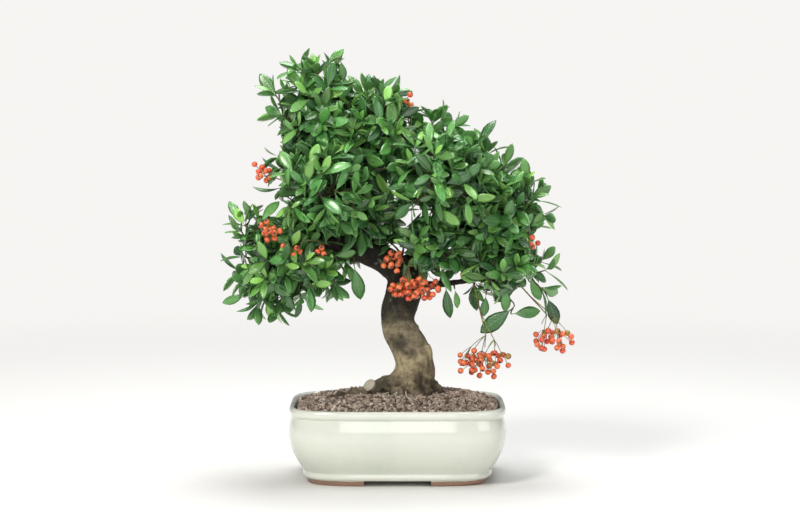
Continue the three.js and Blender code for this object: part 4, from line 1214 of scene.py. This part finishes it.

# %% [markdown]
# ## Tufts, single leaves and fillers
# A crown has a ragged edge, and an outline alone would clip it smooth. So tufts are listed where shoots
# stick out of it, each with its place, the way it points and how many leaves it has. Single leaves that hang
# or reach out are listed too, from stalk to tip. Both are free to pass the outline. Three small fillers
# close the crown round the forks, where the pads leave the wood too bare.

# %% Tufts, leaves and fillers
EDGE_TUFTS = [
    ((-66.5, 411), (0.5, 0.85), 6), ((-81.5, 405), (-0.1, 1), 6), ((-99.5, 411), (-0.7, 0.6), 5),
    ((-122, 384), (-0.6, 0.6), 4), ((-32.5, 387), (0, 1), 6), ((-17.5, 387), (0.1, 1), 5),
    ((-5.5, 385), (0.8, 0.5), 5), ((34.5, 358), (0, 1), 8), ((44, 355), (0.8, 0.6), 5),
    ((57.5, 353), (0.8, 0.3), 5), ((80.5, 337), (-0.1, 1), 5), ((90.5, 327), (0.3, 0.9), 6),
    ((107.5, 313), (0.4, 0.8), 6), ((128, 297), (0.1, 1), 5), ((133, 282), (0.6, 0.5), 5),
    ((-122, 322), (-0.9, 0.1), 2), ((-119.5, 309), (-0.6, -0.1), 5), ((-117.5, 287), (-0.3, -0.5), 3),
    ((-156, 260), (-0.1, 1), 3), ((-146, 262), (0.3, 1), 4), ((-159, 248), (-0.8, 0.5), 4),
    ((-141, 171), (-0.3, -0.9), 7), ((-121, 168), (0, -1), 6), ((-62.5, 193), (0.1, -1), 6),
    ((28, 214), (0.1, -0.5), 5), ((77.5, 191), (0, -0.6), 5), ((-51.5, 214), (0.1, -0.4), 5),
]
TUFT_SPREAD = 0.6
TUFT_INSET = 2.5
TUFT_DEPTHS = (-20, 10)
TUFT_LEAN = (-0.1, 0.3)
SINGLE_LEAVES = [
    ((-43, 213), (-36, 177)), ((48, 193), (51.5, 159)), ((115, 171), (82, 146)), ((114, 165), (143, 168)),
    ((149, 182), (160, 154)), ((-4, 382), (15, 387)), ((107, 193), (109, 165)), ((131, 203), (144, 177)),
    ((-150, 186), (-175, 174)), ((-70, 411), (-53, 429)), ((-56, 417), (-53, 396)), ((88, 184), (86, 162)),
    ((57, 190), (61, 170)), ((6, 218), (12, 196)), ((-60, 214), (-66, 190)),
]
SINGLE_LEAF_Y = -14
SINGLE_LEAF_FACING = Vector((0, -1, 0.2))
FILLERS = [((34, -30, 232), (30, 12, 28)), ((6, -6, 236), (20, 12, 16)), ((-34, -30, 262), (26, 12, 18))]
print("tufts:", len(EDGE_TUFTS), "single leaves:", len(SINGLE_LEAVES), "fillers:", len(FILLERS))

# %% [markdown]
# ## Where the rosettes stand
# Firethorn carries its leaves in rosettes on short spurs. New spurs are drawn at random inside each pad, but
# never closer than a set spacing to each other, which is how foliage shares the light. Each spur is a small
# record of its place, the way it points and the spray that it belongs to, and some have a light, a number of
# leaves or a length of their own. Last, the spurs are joined from the wood outwards, those of the frame
# first. Each gets a stem from the wood or from a spur that is already joined, and so they branch as a tree.

# %% Start from the spurs of the frame
SPUR_SEED = 2024
SAME_SPUR = 2.6

draw = random.Random(SPUR_SEED)
spurs = []
for name, leaves in cad_sprays.items():
    for base, turn, length in leaves:
        close = [spur for spur in spurs if (base - spur["place"]).length < SAME_SPUR]
        if close:
            close[0]["heading"] = (close[0]["heading"] + turn.col[1]).normalized()
        else:
            spurs.append({"place": base, "spray": name, "heading": turn.col[1].copy(), "in_frame": True})
print("spurs in the frame:", len(spurs))

# %% Draw the others in the pads
SPUR_SPACING = 14.2
SPUR_SHELL = (0.30, 0.76)
SPUR_TRIES = 1300
SPUR_UPWARD = 0.35
SPUR_JITTER = 0.3
FILLER_SPACING = 11
# Filler leaves get less light, so their tone is painted darker: painted shade round the forks.
FILLER_LIGHT = 0.4


def drawn_spur(draw, middle, radii, brightness):
    """A spur drawn inside a pad. It points outwards and up, and has more light the further out it stands."""
    unit = random_vector(draw, 1).normalized()
    share = draw.uniform(SPUR_SHELL[0] ** 3, SPUR_SHELL[1] ** 3) ** (1 / 3)
    jitter = random_vector(draw, SPUR_JITTER)
    outwards = Vector([value / radius for value, radius in zip(unit, radii)]).normalized()
    return {"place": Vector(middle) + stretched(unit, radii) * share, "spray": None,
            "heading": (outwards + Vector((0, 0, SPUR_UPWARD)) + jitter).normalized(),
            "light": (share - SPUR_SHELL[0]) / (SPUR_SHELL[1] - SPUR_SHELL[0]) * brightness}


taken = [list(spur["place"]) for spur in spurs]
for pads, spacing, brightness in ((PADS, SPUR_SPACING, 1), (FILLERS, FILLER_SPACING, FILLER_LIGHT)):
    for middle, radii in pads:
        for _ in range(SPUR_TRIES):
            spur = drawn_spur(draw, middle, radii, brightness)
            room = np.linalg.norm(np.array(taken) - np.array(spur["place"]), axis=1).min()
            if room >= spacing and inside_outline(seen_at(spur["place"])):
                spurs.append(spur)
                taken.append(list(spur["place"]))
print("spurs with those in the pads:", len(spurs))

# %% Add the tufts and single leaves, and keep clear of the wood
WOOD_CLEARANCE = 7

for (x, z), (heading_x, heading_z), count in EDGE_TUFTS:
    heading = Vector((heading_x, draw.gauss(*TUFT_LEAN), heading_z)).normalized()
    place = Vector((x, draw.uniform(*TUFT_DEPTHS), z)) - heading * TUFT_INSET
    spurs.append({"place": place, "spray": None, "heading": heading,
                  "count": count, "spread": TUFT_SPREAD, "free": True})
for (x, z), (tip_x, tip_z) in SINGLE_LEAVES:
    along = Vector((tip_x - x, 0, tip_z - z))
    spurs.append({"place": Vector((x, SINGLE_LEAF_Y, z)), "spray": None, "heading": along.normalized(),
                  "count": 1, "spread": 0, "free": True, "length": along.length,
                  "facing": SINGLE_LEAF_FACING})
aways, radii = wood_distance(np.array([spur["place"] for spur in spurs]))
spurs = [dict(spur, away=away) for spur, away, radius in zip(spurs, aways, radii)
         if spur["spray"] or spur.get("free") or away > radius + WOOD_CLEARANCE]
print("spurs:", len(spurs), "of which in the frame:", sum(1 for spur in spurs if spur["spray"]))

# %% Join them by stems
STEM_BEND = 8
WOOD_CHOICE = 1.3


def nearest(place, points):
    """The point that lies nearest to a place."""
    return min(points, key=lambda point: (point - place).length_squared)


wood_points = [middle for middles, _ in routes[:len(LIMBS)] for middle in middles]
known = []
for spur in sorted(spurs, key=lambda spur: (not spur.get("in_frame"), spur["away"])):
    behind = spur["place"] - spur["heading"] * STEM_BEND
    foot = nearest(behind, wood_points)
    others = [other for other in known if not spur.get("in_frame") or other["spray"] == spur["spray"]]
    parent = min(others, key=lambda other: (other["place"] - behind).length_squared, default=None)
    spur["spray"] = spur["spray"] or parent["spray"]
    near_wood = parent is None or (foot - behind).length < (parent["place"] - behind).length * WOOD_CHOICE
    spur["foot"], spur["from_wood"] = (foot, True) if near_wood else (parent["place"], False)
    known.append(spur)
print("stems from the wood:", sum(1 for spur in spurs if spur["from_wood"]))

# %% [markdown]
# ## The sprays
# Every spray gets the leaves of the frame, finer, on its own stems, and the rosettes that grew from it. In a
# rosette, each leaf turns on by the golden angle. The outer ones are long, dark and wide open, the inner ones
# short, young and steep. A leaf that would leave the box of the CAD solids isn't grown.

# %% How old and how bright a leaf is
# A leaf's tone rises with its light. The darker tone deep in the crown is painted shade.
TONE_IN_CROWN_SHADE = 0.06
TONE_RISE_WITH_LIGHT = 0.38
TONE_SPREAD = 0.30
BOX_LOW, BOX_HIGH = (Vector(corner) / MM for corner in cad_box)


def in_box(point):
    """Whether a point in mm lies inside the box of the CAD solids."""
    return all(low < value < high for low, value, high in zip(BOX_LOW, point, BOX_HIGH))


def between(ends, share):
    """The value at a share of the way between two ends."""
    return ends[0] + (ends[1] - ends[0]) * share


def age_values(draw, youth, light=1.0):
    """How young and how pale a leaf is. Leaves that stand deep in the crown are painted darker, as shade."""
    return {"youth": clamped(youth), "tone": clamped(draw.gauss(TONE_IN_CROWN_SHADE + TONE_RISE_WITH_LIGHT * light, TONE_SPREAD))}


print("box of the leaves, up to:", [round(value) for value in BOX_HIGH])

# %% A rosette and its stem
GOLDEN_ANGLE = math.pi * (3 - math.sqrt(5))
ROSETTE_LEAVES = (6, 9)
ROSETTE_OPEN = (1.35, 0.45)
ROSETTE_OPEN_SPREAD = 0.14
ROSETTE_STEM = 5
ROSETTE_LENGTH = (30, 18)
ROSETTE_LENGTH_SPREAD = 3.0
LEAF_ROLL_SPREAD = 0.25
YOUNG_TIPS = 0.45
YOUTH_IN_YOUNG_TIP = 0.9
YOUTH_IN_OLD_TIP = 0.35
YOUTH_SPREAD = 0.08
STEM_STEPS = (0, 0.25, 0.5, 0.75, 1)
STEM_STRAIGHT = 0.45
STEM_ON_WOOD = 1.5
STEM_ON_SPUR = 0.9
STEM_END = 0.6


def add_rosette(growth, spur, draw):
    """The leaves of a spur, from the outer ones to the inner ones."""
    heading, place = spur["heading"], spur["place"]
    spread, light = spur.get("spread", 1), spur.get("light", 1)
    side = heading.orthogonal().normalized()
    count = spur.get("count") or draw.randint(*ROSETTE_LEAVES)
    start = draw.uniform(0, math.tau)
    young_tip = draw.random() < YOUNG_TIPS * light ** 0.5
    for number in range(count):
        share = number / max(count - 1, 1)
        opening = (between(ROSETTE_OPEN, share) + draw.gauss(0, ROSETTE_OPEN_SPREAD)) * spread
        length = between(ROSETTE_LENGTH, share) + draw.gauss(0, ROSETTE_LENGTH_SPREAD)
        length = spur.get("length", length)
        around = Matrix.Rotation(start + number * GOLDEN_ANGLE, 3, heading) @ side
        along = (heading * math.cos(opening) + around * math.sin(opening)).normalized()
        across = along.cross(spur.get("facing", heading)).normalized()
        across = Matrix.Rotation(draw.gauss(0, LEAF_ROLL_SPREAD), 3, along) @ across
        base = place - heading * (1 - share) * ROSETTE_STEM * spread
        kind = draw.randrange(len(LEAF_KINDS))
        youth = share ** 2 * YOUTH_IN_YOUNG_TIP if young_tip else share ** 3 * YOUTH_IN_OLD_TIP
        values = age_values(draw, youth + draw.gauss(0, YOUTH_SPREAD), light)
        tip = base + along * length
        if in_box(tip) and (spur.get("free") or leaf_allowed(base, tip)):
            growth.copy(base, leaf_turn(across, along), length, kind, **values)


def add_spur_stem(growth, spur):
    """A stem from the wood or another spur, bent so that it arrives the way the spur points."""
    foot, place, heading = spur["foot"], spur["place"], spur["heading"]
    bend = place - heading * (place - foot).length * STEM_STRAIGHT
    middles = [foot.lerp(bend, t).lerp(bend.lerp(place, t), t) for t in STEM_STEPS]
    ends = (STEM_ON_WOOD if spur["from_wood"] else STEM_ON_SPUR, STEM_END)
    growth.stem(middles, [between(ends, t) for t in STEM_STEPS])


print("leaves in a rosette, at least and at most:", ROSETTE_LEAVES)

# %% Grow the sprays
SPRAY_SEED = 300
OLD_LEAVES_POWER = 4

leaf_total = 0
for index, name in enumerate(spray_names):
    draw = random.Random(SPRAY_SEED + index)
    growth = Growth()
    for base, turn, length in cad_sprays[name]:
        growth.copy(base, turn, length, 0, **age_values(draw, draw.random() ** OLD_LEAVES_POWER))
    for spur in spurs:
        if spur["spray"] == name:
            add_spur_stem(growth, spur)
            if not spur.get("in_frame"):
                add_rosette(growth, spur, draw)
    leaf_total += len(growth.copies)
    piece = growth.build("leafy_" + name, spray_tree)
    finish_piece(piece, "leaf", name)
print("leaves in all:", leaf_total)

# %% [markdown]
# ## One berry
# A firethorn berry is a glossy globe of 6 to 7 mm, a little flattened. The end away from the stalk keeps the
# dried calyx, five small dark points folded over a dimple. Ten columns make the five points as every second
# corner of the ring round that end.

# %% Berry shape
BERRY_ROWS = [(-0.90, 0.28), (-0.62, 0.76), (-0.12, 1.0), (0.46, 0.87), (0.80, 0.46), (0.86, 0.25)]
BERRY_BOTTOM = -0.94
BERRY_COLUMNS = 10
CALYX_DIMPLE = 0.76


def berry_piece(name):
    """A berry of radius one metre round the origin, with its stalk end down and its calyx up."""
    top = len(BERRY_ROWS) - 1
    corners, star = [(0, 0, BERRY_BOTTOM)], [0.0]
    for row, (height, radius) in enumerate(BERRY_ROWS):
        for column in range(BERRY_COLUMNS):
            angle = math.tau * column / BERRY_COLUMNS
            corners.append((radius * math.cos(angle), radius * math.sin(angle), height))
            pointed = row == top - 1 and column % 2 == 0
            star.append(1.0 if row == top or pointed else 0.0)
    corners.append((0, 0, CALYX_DIMPLE))
    star.append(1.0)
    faces = []
    for column in range(BERRY_COLUMNS):
        after = (column + 1) % BERRY_COLUMNS
        faces.append((0, 1 + after, 1 + column))
        for row in range(top):
            low = 1 + row * BERRY_COLUMNS
            high = low + BERRY_COLUMNS
            faces.append((low + column, low + after, high + after, high + column))
        last = 1 + top * BERRY_COLUMNS
        faces.append((last + column, last + after, len(corners) - 1))
    return shape_to_copy(name, corners, faces, star=star)


berry_shape = berry_piece("berry")
print("faces on a berry:", len(berry_shape.data.polygons))

# %% The berry material
BERRY_RED = (0.76, 0.100, 0.046)
BERRY_ORANGE = (0.92, 0.225, 0.075)
BERRY_UNRIPE = (0.34, 0.24, 0.05)
BERRY_FRECKLES = [(0.3, (0.86, 0.84, 0.8)), (0.65, (1.08, 1.06, 1.0))]
CALYX = (0.060, 0.026, 0.014)
STALK_SHADES = [(0.40, (0.14, 0.085, 0.04)), (0.58, (0.27, 0.29, 0.09))]

berry_finish, tree, shader, place = start_material("firethorn_berry", Coat_Weight=0.35, Coat_Roughness=0.12,
                                                   Roughness=0.28, Subsurface_Weight=0.08)
skin = mixed(tree, stored_value(tree, "tone"), BERRY_RED, BERRY_ORANGE)
skin = mixed(tree, stored_value(tree, "ripe"), BERRY_UNRIPE, skin)
skin = shaded(tree, skin, ramp(tree, noise_pattern(tree, place, 900, 2.0), BERRY_FRECKLES))
dark_end = ramp(tree, stored_value(tree, "star"), [(0.35, (0, 0, 0)), (0.6, (1, 1, 1))])
tree.links.new(mixed(tree, dark_end, skin, CALYX), shader.inputs["Base Color"])
tree.links.new(bumped(tree, dark_end, 0.25, 0.6), shader.inputs["Normal"])

stalk_finish, tree, shader, place = start_material("berry_stalk", Roughness=0.55)
tree.links.new(ramp(tree, noise_pattern(tree, place, 90), STALK_SHADES), shader.inputs["Base Color"])
print("finishes for the bunches:", berry_finish.name, stalk_finish.name)

# %% [markdown]
# ## The bunches
# A bunch branches twice: a stem from the wood ends in one to three hubs, short side stalks lead from a hub to
# knots, and from a knot a thin stalk goes to each of the few berries near it. The berries of the frame are
# found by their shape, twelve corners round a middle, and the finer ones stand in their places, a little
# smaller, so that no rounded side passes the box of the plain ones. Others fill in between, as in a full
# bunch, and a few loose ones are listed where they show apart from it.

# %% Bunches
# A bunch is its hubs, the middle and radii of the space that it fills, and how many berries it has.
BUNCHES = {
    "berries_fork": ([(-4, -24, 229)], (-5, -31, 220), (11, 8, 10), 14),
    "berries_front": ([(11, -25, 214), (26, -26, 213)], (18, -34, 192), (28, 11, 11), 42),
    "berries_hanging": ([(88, -16, 144), (96, -20, 140)], (85, -20, 119), (29, 16, 13), 40),
    "berries_right": ([(149, -10, 164), (156, -15, 162)], (155, -12, 138), (21, 15, 14), 26),
    "berries_left": (
        [(-121, -46, 250), (-98, -44, 240), (-77, -42, 240)], (-126, -56, 249), (12, 10, 11), 12),
    "berries_upper_left": ([(-122, -36, 302)], (-132, -36, 306), (8, 8, 11), 7),
    "berries_top": ([(2, -20, 372)], (9, -24, 377), (8, 8, 8), 4),
    "berries_edge": ([(127, -28, 244)], (134, -32, 238), (7, 7, 8), 4),
    "berries_back_left": ([(-46, 81, 230)], (-54, 85, 215), (15, 9, 12), 12),
    "berries_back_right": ([(70, 81, 219)], (75, 84, 204), (15, 9, 12), 11),
}
LOOSE_BERRIES = {
    "berries_left": [
        (-112, -54, 236), (-107, -52, 232), (-101, -54, 227), (-95, -52, 230), (-98, -57, 234),
        (-78, -50, 230), (-72, -51, 228), (-74, -52, 234)],
    "berries_upper_left": [(-134, -43, 303.5), (-140, -39, 315)],
}
print("bunches:", len(BUNCHES), "loose berries:", sum(map(len, LOOSE_BERRIES.values())))

# %% Read the berries of the frame
BERRY_RADIUS = 3.3
BERRY_CORNERS = 12
BERRY_MATCH = 0.1
BERRY_WELD = 0.002
STALK_RADIUS = 0.5
STALK_MATCH = 0.01


def read_berries(node):
    """The middles of a CAD bunch's berries, in mm."""
    mesh = welded(node, BERRY_WELD)
    stalk_edge = STALK_RADIUS * math.sqrt(3) * MM
    match = STALK_MATCH * MM
    rings = [vertex for vertex in mesh.verts
             if sum(1 for edge in vertex.link_edges if abs(edge.calc_length() - stalk_edge) < match) == 2]
    bmesh.ops.delete(mesh, geom=rings, context="VERTS")
    middles, seen = [], set()
    for start in mesh.verts:
        if start in seen:
            continue
        group, queue = [], [start]
        seen.add(start)
        while queue:
            vertex = queue.pop()
            group.append(vertex.co / MM)
            fresh = {edge.other_vert(vertex) for edge in vertex.link_edges} - seen
            seen |= fresh
            queue += fresh
        middle = sum(group, Vector()) / len(group)
        is_round = all(abs((corner - middle).length - BERRY_RADIUS) < BERRY_MATCH for corner in group)
        if len(group) == BERRY_CORNERS and is_round:
            middles.append(middle)
    mesh.free()
    return middles


cad_berries = {name: read_berries(name) for name in BUNCHES}
print("berries read:", sum(map(len, cad_berries.values())))

# %% Fill a bunch
FRAME_SHARE = 0.96
LOOSE_RADIUS = 3.0
FILL_RADII = (2.9, 3.4)
FILL_TRIES = 3000
BERRY_GAP = 0.05
BOX_MARGIN = Vector((4, 0, 0))


def filled_bunch(name, middle, radii, count, draw):
    """The berries (place, radius) of a bunch: those of the frame, the loose ones, and those between."""
    loose = LOOSE_BERRIES.get(name, [])
    berries = [(place, BERRY_RADIUS * FRAME_SHARE) for place in cad_berries[name]]
    berries += [(Vector(place), LOOSE_RADIUS) for place in loose]
    for _ in range(FILL_TRIES):
        unit = Vector([draw.uniform(-1, 1) for _ in range(3)])
        place = Vector([centre + value * radius for centre, value, radius in zip(middle, unit, radii)])
        radius = draw.uniform(*FILL_RADII)
        if len(berries) >= count + len(loose) or unit.length > 1 or not in_box(place + BOX_MARGIN):
            continue
        if all((place - other).length > radius + reach + BERRY_GAP for other, reach in berries):
            berries.append((place, radius))
    return berries


print("berries wanted:", sum(count for _, _, _, count in BUNCHES.values()), "and the loose ones")

# %% Stems and stalks of a bunch
STEM_RADII = [1.0, 0.8, 0.6]
FORK_SHARE = 0.6
FORK_RADII = [0.7, 0.55, 0.5]
BERRIES_A_KNOT = 4
KNOT_SHARE = (0.40, 0.62)
KNOT_STALK_RADII = [0.46, 0.40, 0.40]
KNOT_STALK_ARCH = Vector((0, 0, 1))
STALK_RADII = [0.34, 0.29, 0.38]
STALK_ARCH = Vector((0, 0, 0.8))
STALK_BEND = 0.55
STALK_IN_BERRY = 0.85
SUNK_IN_WOOD = 0.8
BERRY_TILT_SPREAD = 0.12
UNRIPE_SHARE = 0.06
UNRIPE_RANGE = (0.0, 0.5)
BERRY_TONE = (0.5, 0.3)


def knots_of(growth, hubs, berries, draw):
    """Grows the stems and side stalks of a bunch, and tells where its knots are."""
    start = nearest(hubs[0], wood_points)
    growth.stem([start, start.lerp(hubs[0], 0.5), hubs[0]], STEM_RADII)
    fork = start.lerp(hubs[0], FORK_SHARE)
    for hub in hubs[1:]:
        growth.stem([fork, fork.lerp(hub, 0.5), hub], FORK_RADII)
    knots = []
    for place, _ in berries[::BERRIES_A_KNOT]:
        hub = nearest(place, hubs)
        knot = hub.lerp(place, draw.uniform(*KNOT_SHARE))
        growth.stem([hub, hub.lerp(knot, 0.5) + KNOT_STALK_ARCH, knot], KNOT_STALK_RADII)
        knots.append(knot)
    return knots


def hang_berry(growth, knot, place, radius, draw):
    """A berry on its stalk, with its calyx away from the knot."""
    heading = (place - knot).normalized()
    end = place - heading * radius * STALK_IN_BERRY
    growth.stem([knot, knot.lerp(end, STALK_BEND) + STALK_ARCH, end], STALK_RADII)
    axis = (heading + random_vector(draw, BERRY_TILT_SPREAD)).normalized()
    turn = axis.to_track_quat("Z", "Y").to_matrix() @ Matrix.Rotation(draw.uniform(0, math.tau), 3, "Z")
    ripe = 1.0 if draw.random() > UNRIPE_SHARE else draw.uniform(*UNRIPE_RANGE)
    growth.copy(place, turn, radius, 0, tone=clamped(draw.gauss(*BERRY_TONE)), ripe=ripe)


print("berries on a knot:", BERRIES_A_KNOT)

# %% Grow the bunches
BUNCH_SEED = 700

bunch_tree = growth_tree("firethorn bunch", [berry_shape])
berry_total = 0
for index, (name, (hubs, middle, radii, count)) in enumerate(BUNCHES.items()):
    draw = random.Random(BUNCH_SEED + index)
    berries = filled_bunch(name, middle, radii, count, draw)
    growth = Growth()
    knots = knots_of(growth, [Vector(hub) for hub in hubs], berries, draw)
    aways, wood_radii = wood_distance(np.array([place for place, _ in berries]))
    for (place, radius), away, wood_radius in zip(berries, aways, wood_radii):
        if away >= wood_radius + radius * SUNK_IN_WOOD:
            hang_berry(growth, nearest(place, knots), place, radius, draw)
    berry_total += len(growth.copies)
    piece = growth.build(name + "_ripe", bunch_tree, Stem_finish=stalk_finish, Copy_finish=berry_finish)
    finish_piece(piece, "berry", name)
    print(name, "berries in the frame:", len(cad_berries[name]), "in all:", len(growth.copies))

for original in [*leaf_shapes, berry_shape]:
    bpy.data.objects.remove(original)
print("berries in all:", berry_total)

# %% [markdown]
# ## Floor and light
# A plain pale floor runs on to the horizon and fades there into the pale world, so that no line crosses the
# picture behind the crown. Four large soft lights keep the leaves' gloss lively without hard shadows: a key
# from the upper left, a fill from the right, one from above and behind, and a weak one from the front.

# %% Floor
FLOOR_COLOUR = (0.76, 0.745, 0.72)
FLOOR_REACH = 40000
FLOOR_FADE_METRES = (0.5, 1.7)
BACKGROUND = (0.92, 0.91, 0.89)


def lit_evenly(tree, kind, colour):
    """A shader that shows a colour as it is."""
    return add_node(tree, kind, {"Color": (*colour, 1), "Strength": 1.0}).outputs[0]


def mixed_shaders(tree, factor, first, second):
    """Two shaders mixed by a factor."""
    return add_node(tree, "ShaderNodeMixShader", {0: factor, 1: first, 2: second}).outputs[0]


floor_finish, tree, shader, place = start_material("pale_floor", Roughness=0.7, Base_Color=(*FLOOR_COLOUR, 1))
distance = add_node(tree, "ShaderNodeVectorMath", {0: place}, operation="LENGTH").outputs["Value"]
fade = share_between(tree, distance, *FLOOR_FADE_METRES, interpolation_type="SMOOTHSTEP")
far = lit_evenly(tree, "ShaderNodeEmission", BACKGROUND)
faded = mixed_shaders(tree, fade, shader.outputs[0], far)
tree.links.new(faded, tree.nodes["Material Output"].inputs["Surface"])
floor_corners = [(x * FLOOR_REACH, y * FLOOR_REACH, 0) for x, y in ((-1, -1), (1, -1), (1, 1), (-1, 1))]
floor = piece_from("floor", floor_corners, [(0, 1, 2, 3)])
coat(floor, floor_finish)
print("floor fades at metres:", FLOOR_FADE_METRES)

# %% Lights and world
# A light is its place in metres, its size in metres, its power in watts and its colour.
LIGHTS = {
    "key": ((-1.3, -1.9, 2.2), 0.8, 58, (1.0, 0.98, 0.95)),
    "fill": ((2.1, -1.7, 1.1), 1.4, 14, (0.96, 0.98, 1.0)),
    "top": ((0.1, 0.4, 2.4), 1.5, 62, (0.97, 0.99, 1.0)),
    "front": ((0.0, -3.0, 0.9), 1.2, 14, (1.0, 1.0, 1.0)),
}
AIM = Vector((0, 0, 0.22))
WORLD_COLOUR = (0.93, 0.95, 1.0)
WORLD_LIGHT = 0.21

for name, (location, size, power, colour) in LIGHTS.items():
    light = new_object(name, bpy.data.lights.new(name, "AREA"))
    light.data.energy = power
    light.data.size = size
    light.data.color = colour
    light.location = location
    light.rotation_euler = (AIM - Vector(location)).to_track_quat("-Z", "Y").to_euler()

world = bpy.data.worlds.new("studio")
world.use_nodes = True
tree = world.node_tree
seen = add_node(tree, "ShaderNodeLightPath").outputs["Is Camera Ray"]
shown = lit_evenly(tree, "ShaderNodeBackground", BACKGROUND)
lit = tree.nodes["Background"]
lit.inputs["Color"].default_value = (*WORLD_COLOUR, 1)
lit.inputs["Strength"].default_value = WORLD_LIGHT
tree.links.new(mixed_shaders(tree, seen, lit.outputs[0], shown), tree.nodes["World Output"].inputs["Surface"])
bpy.context.scene.world = world
bpy.context.scene.view_settings.view_transform = "Standard"
print("lights:", len(LIGHTS))
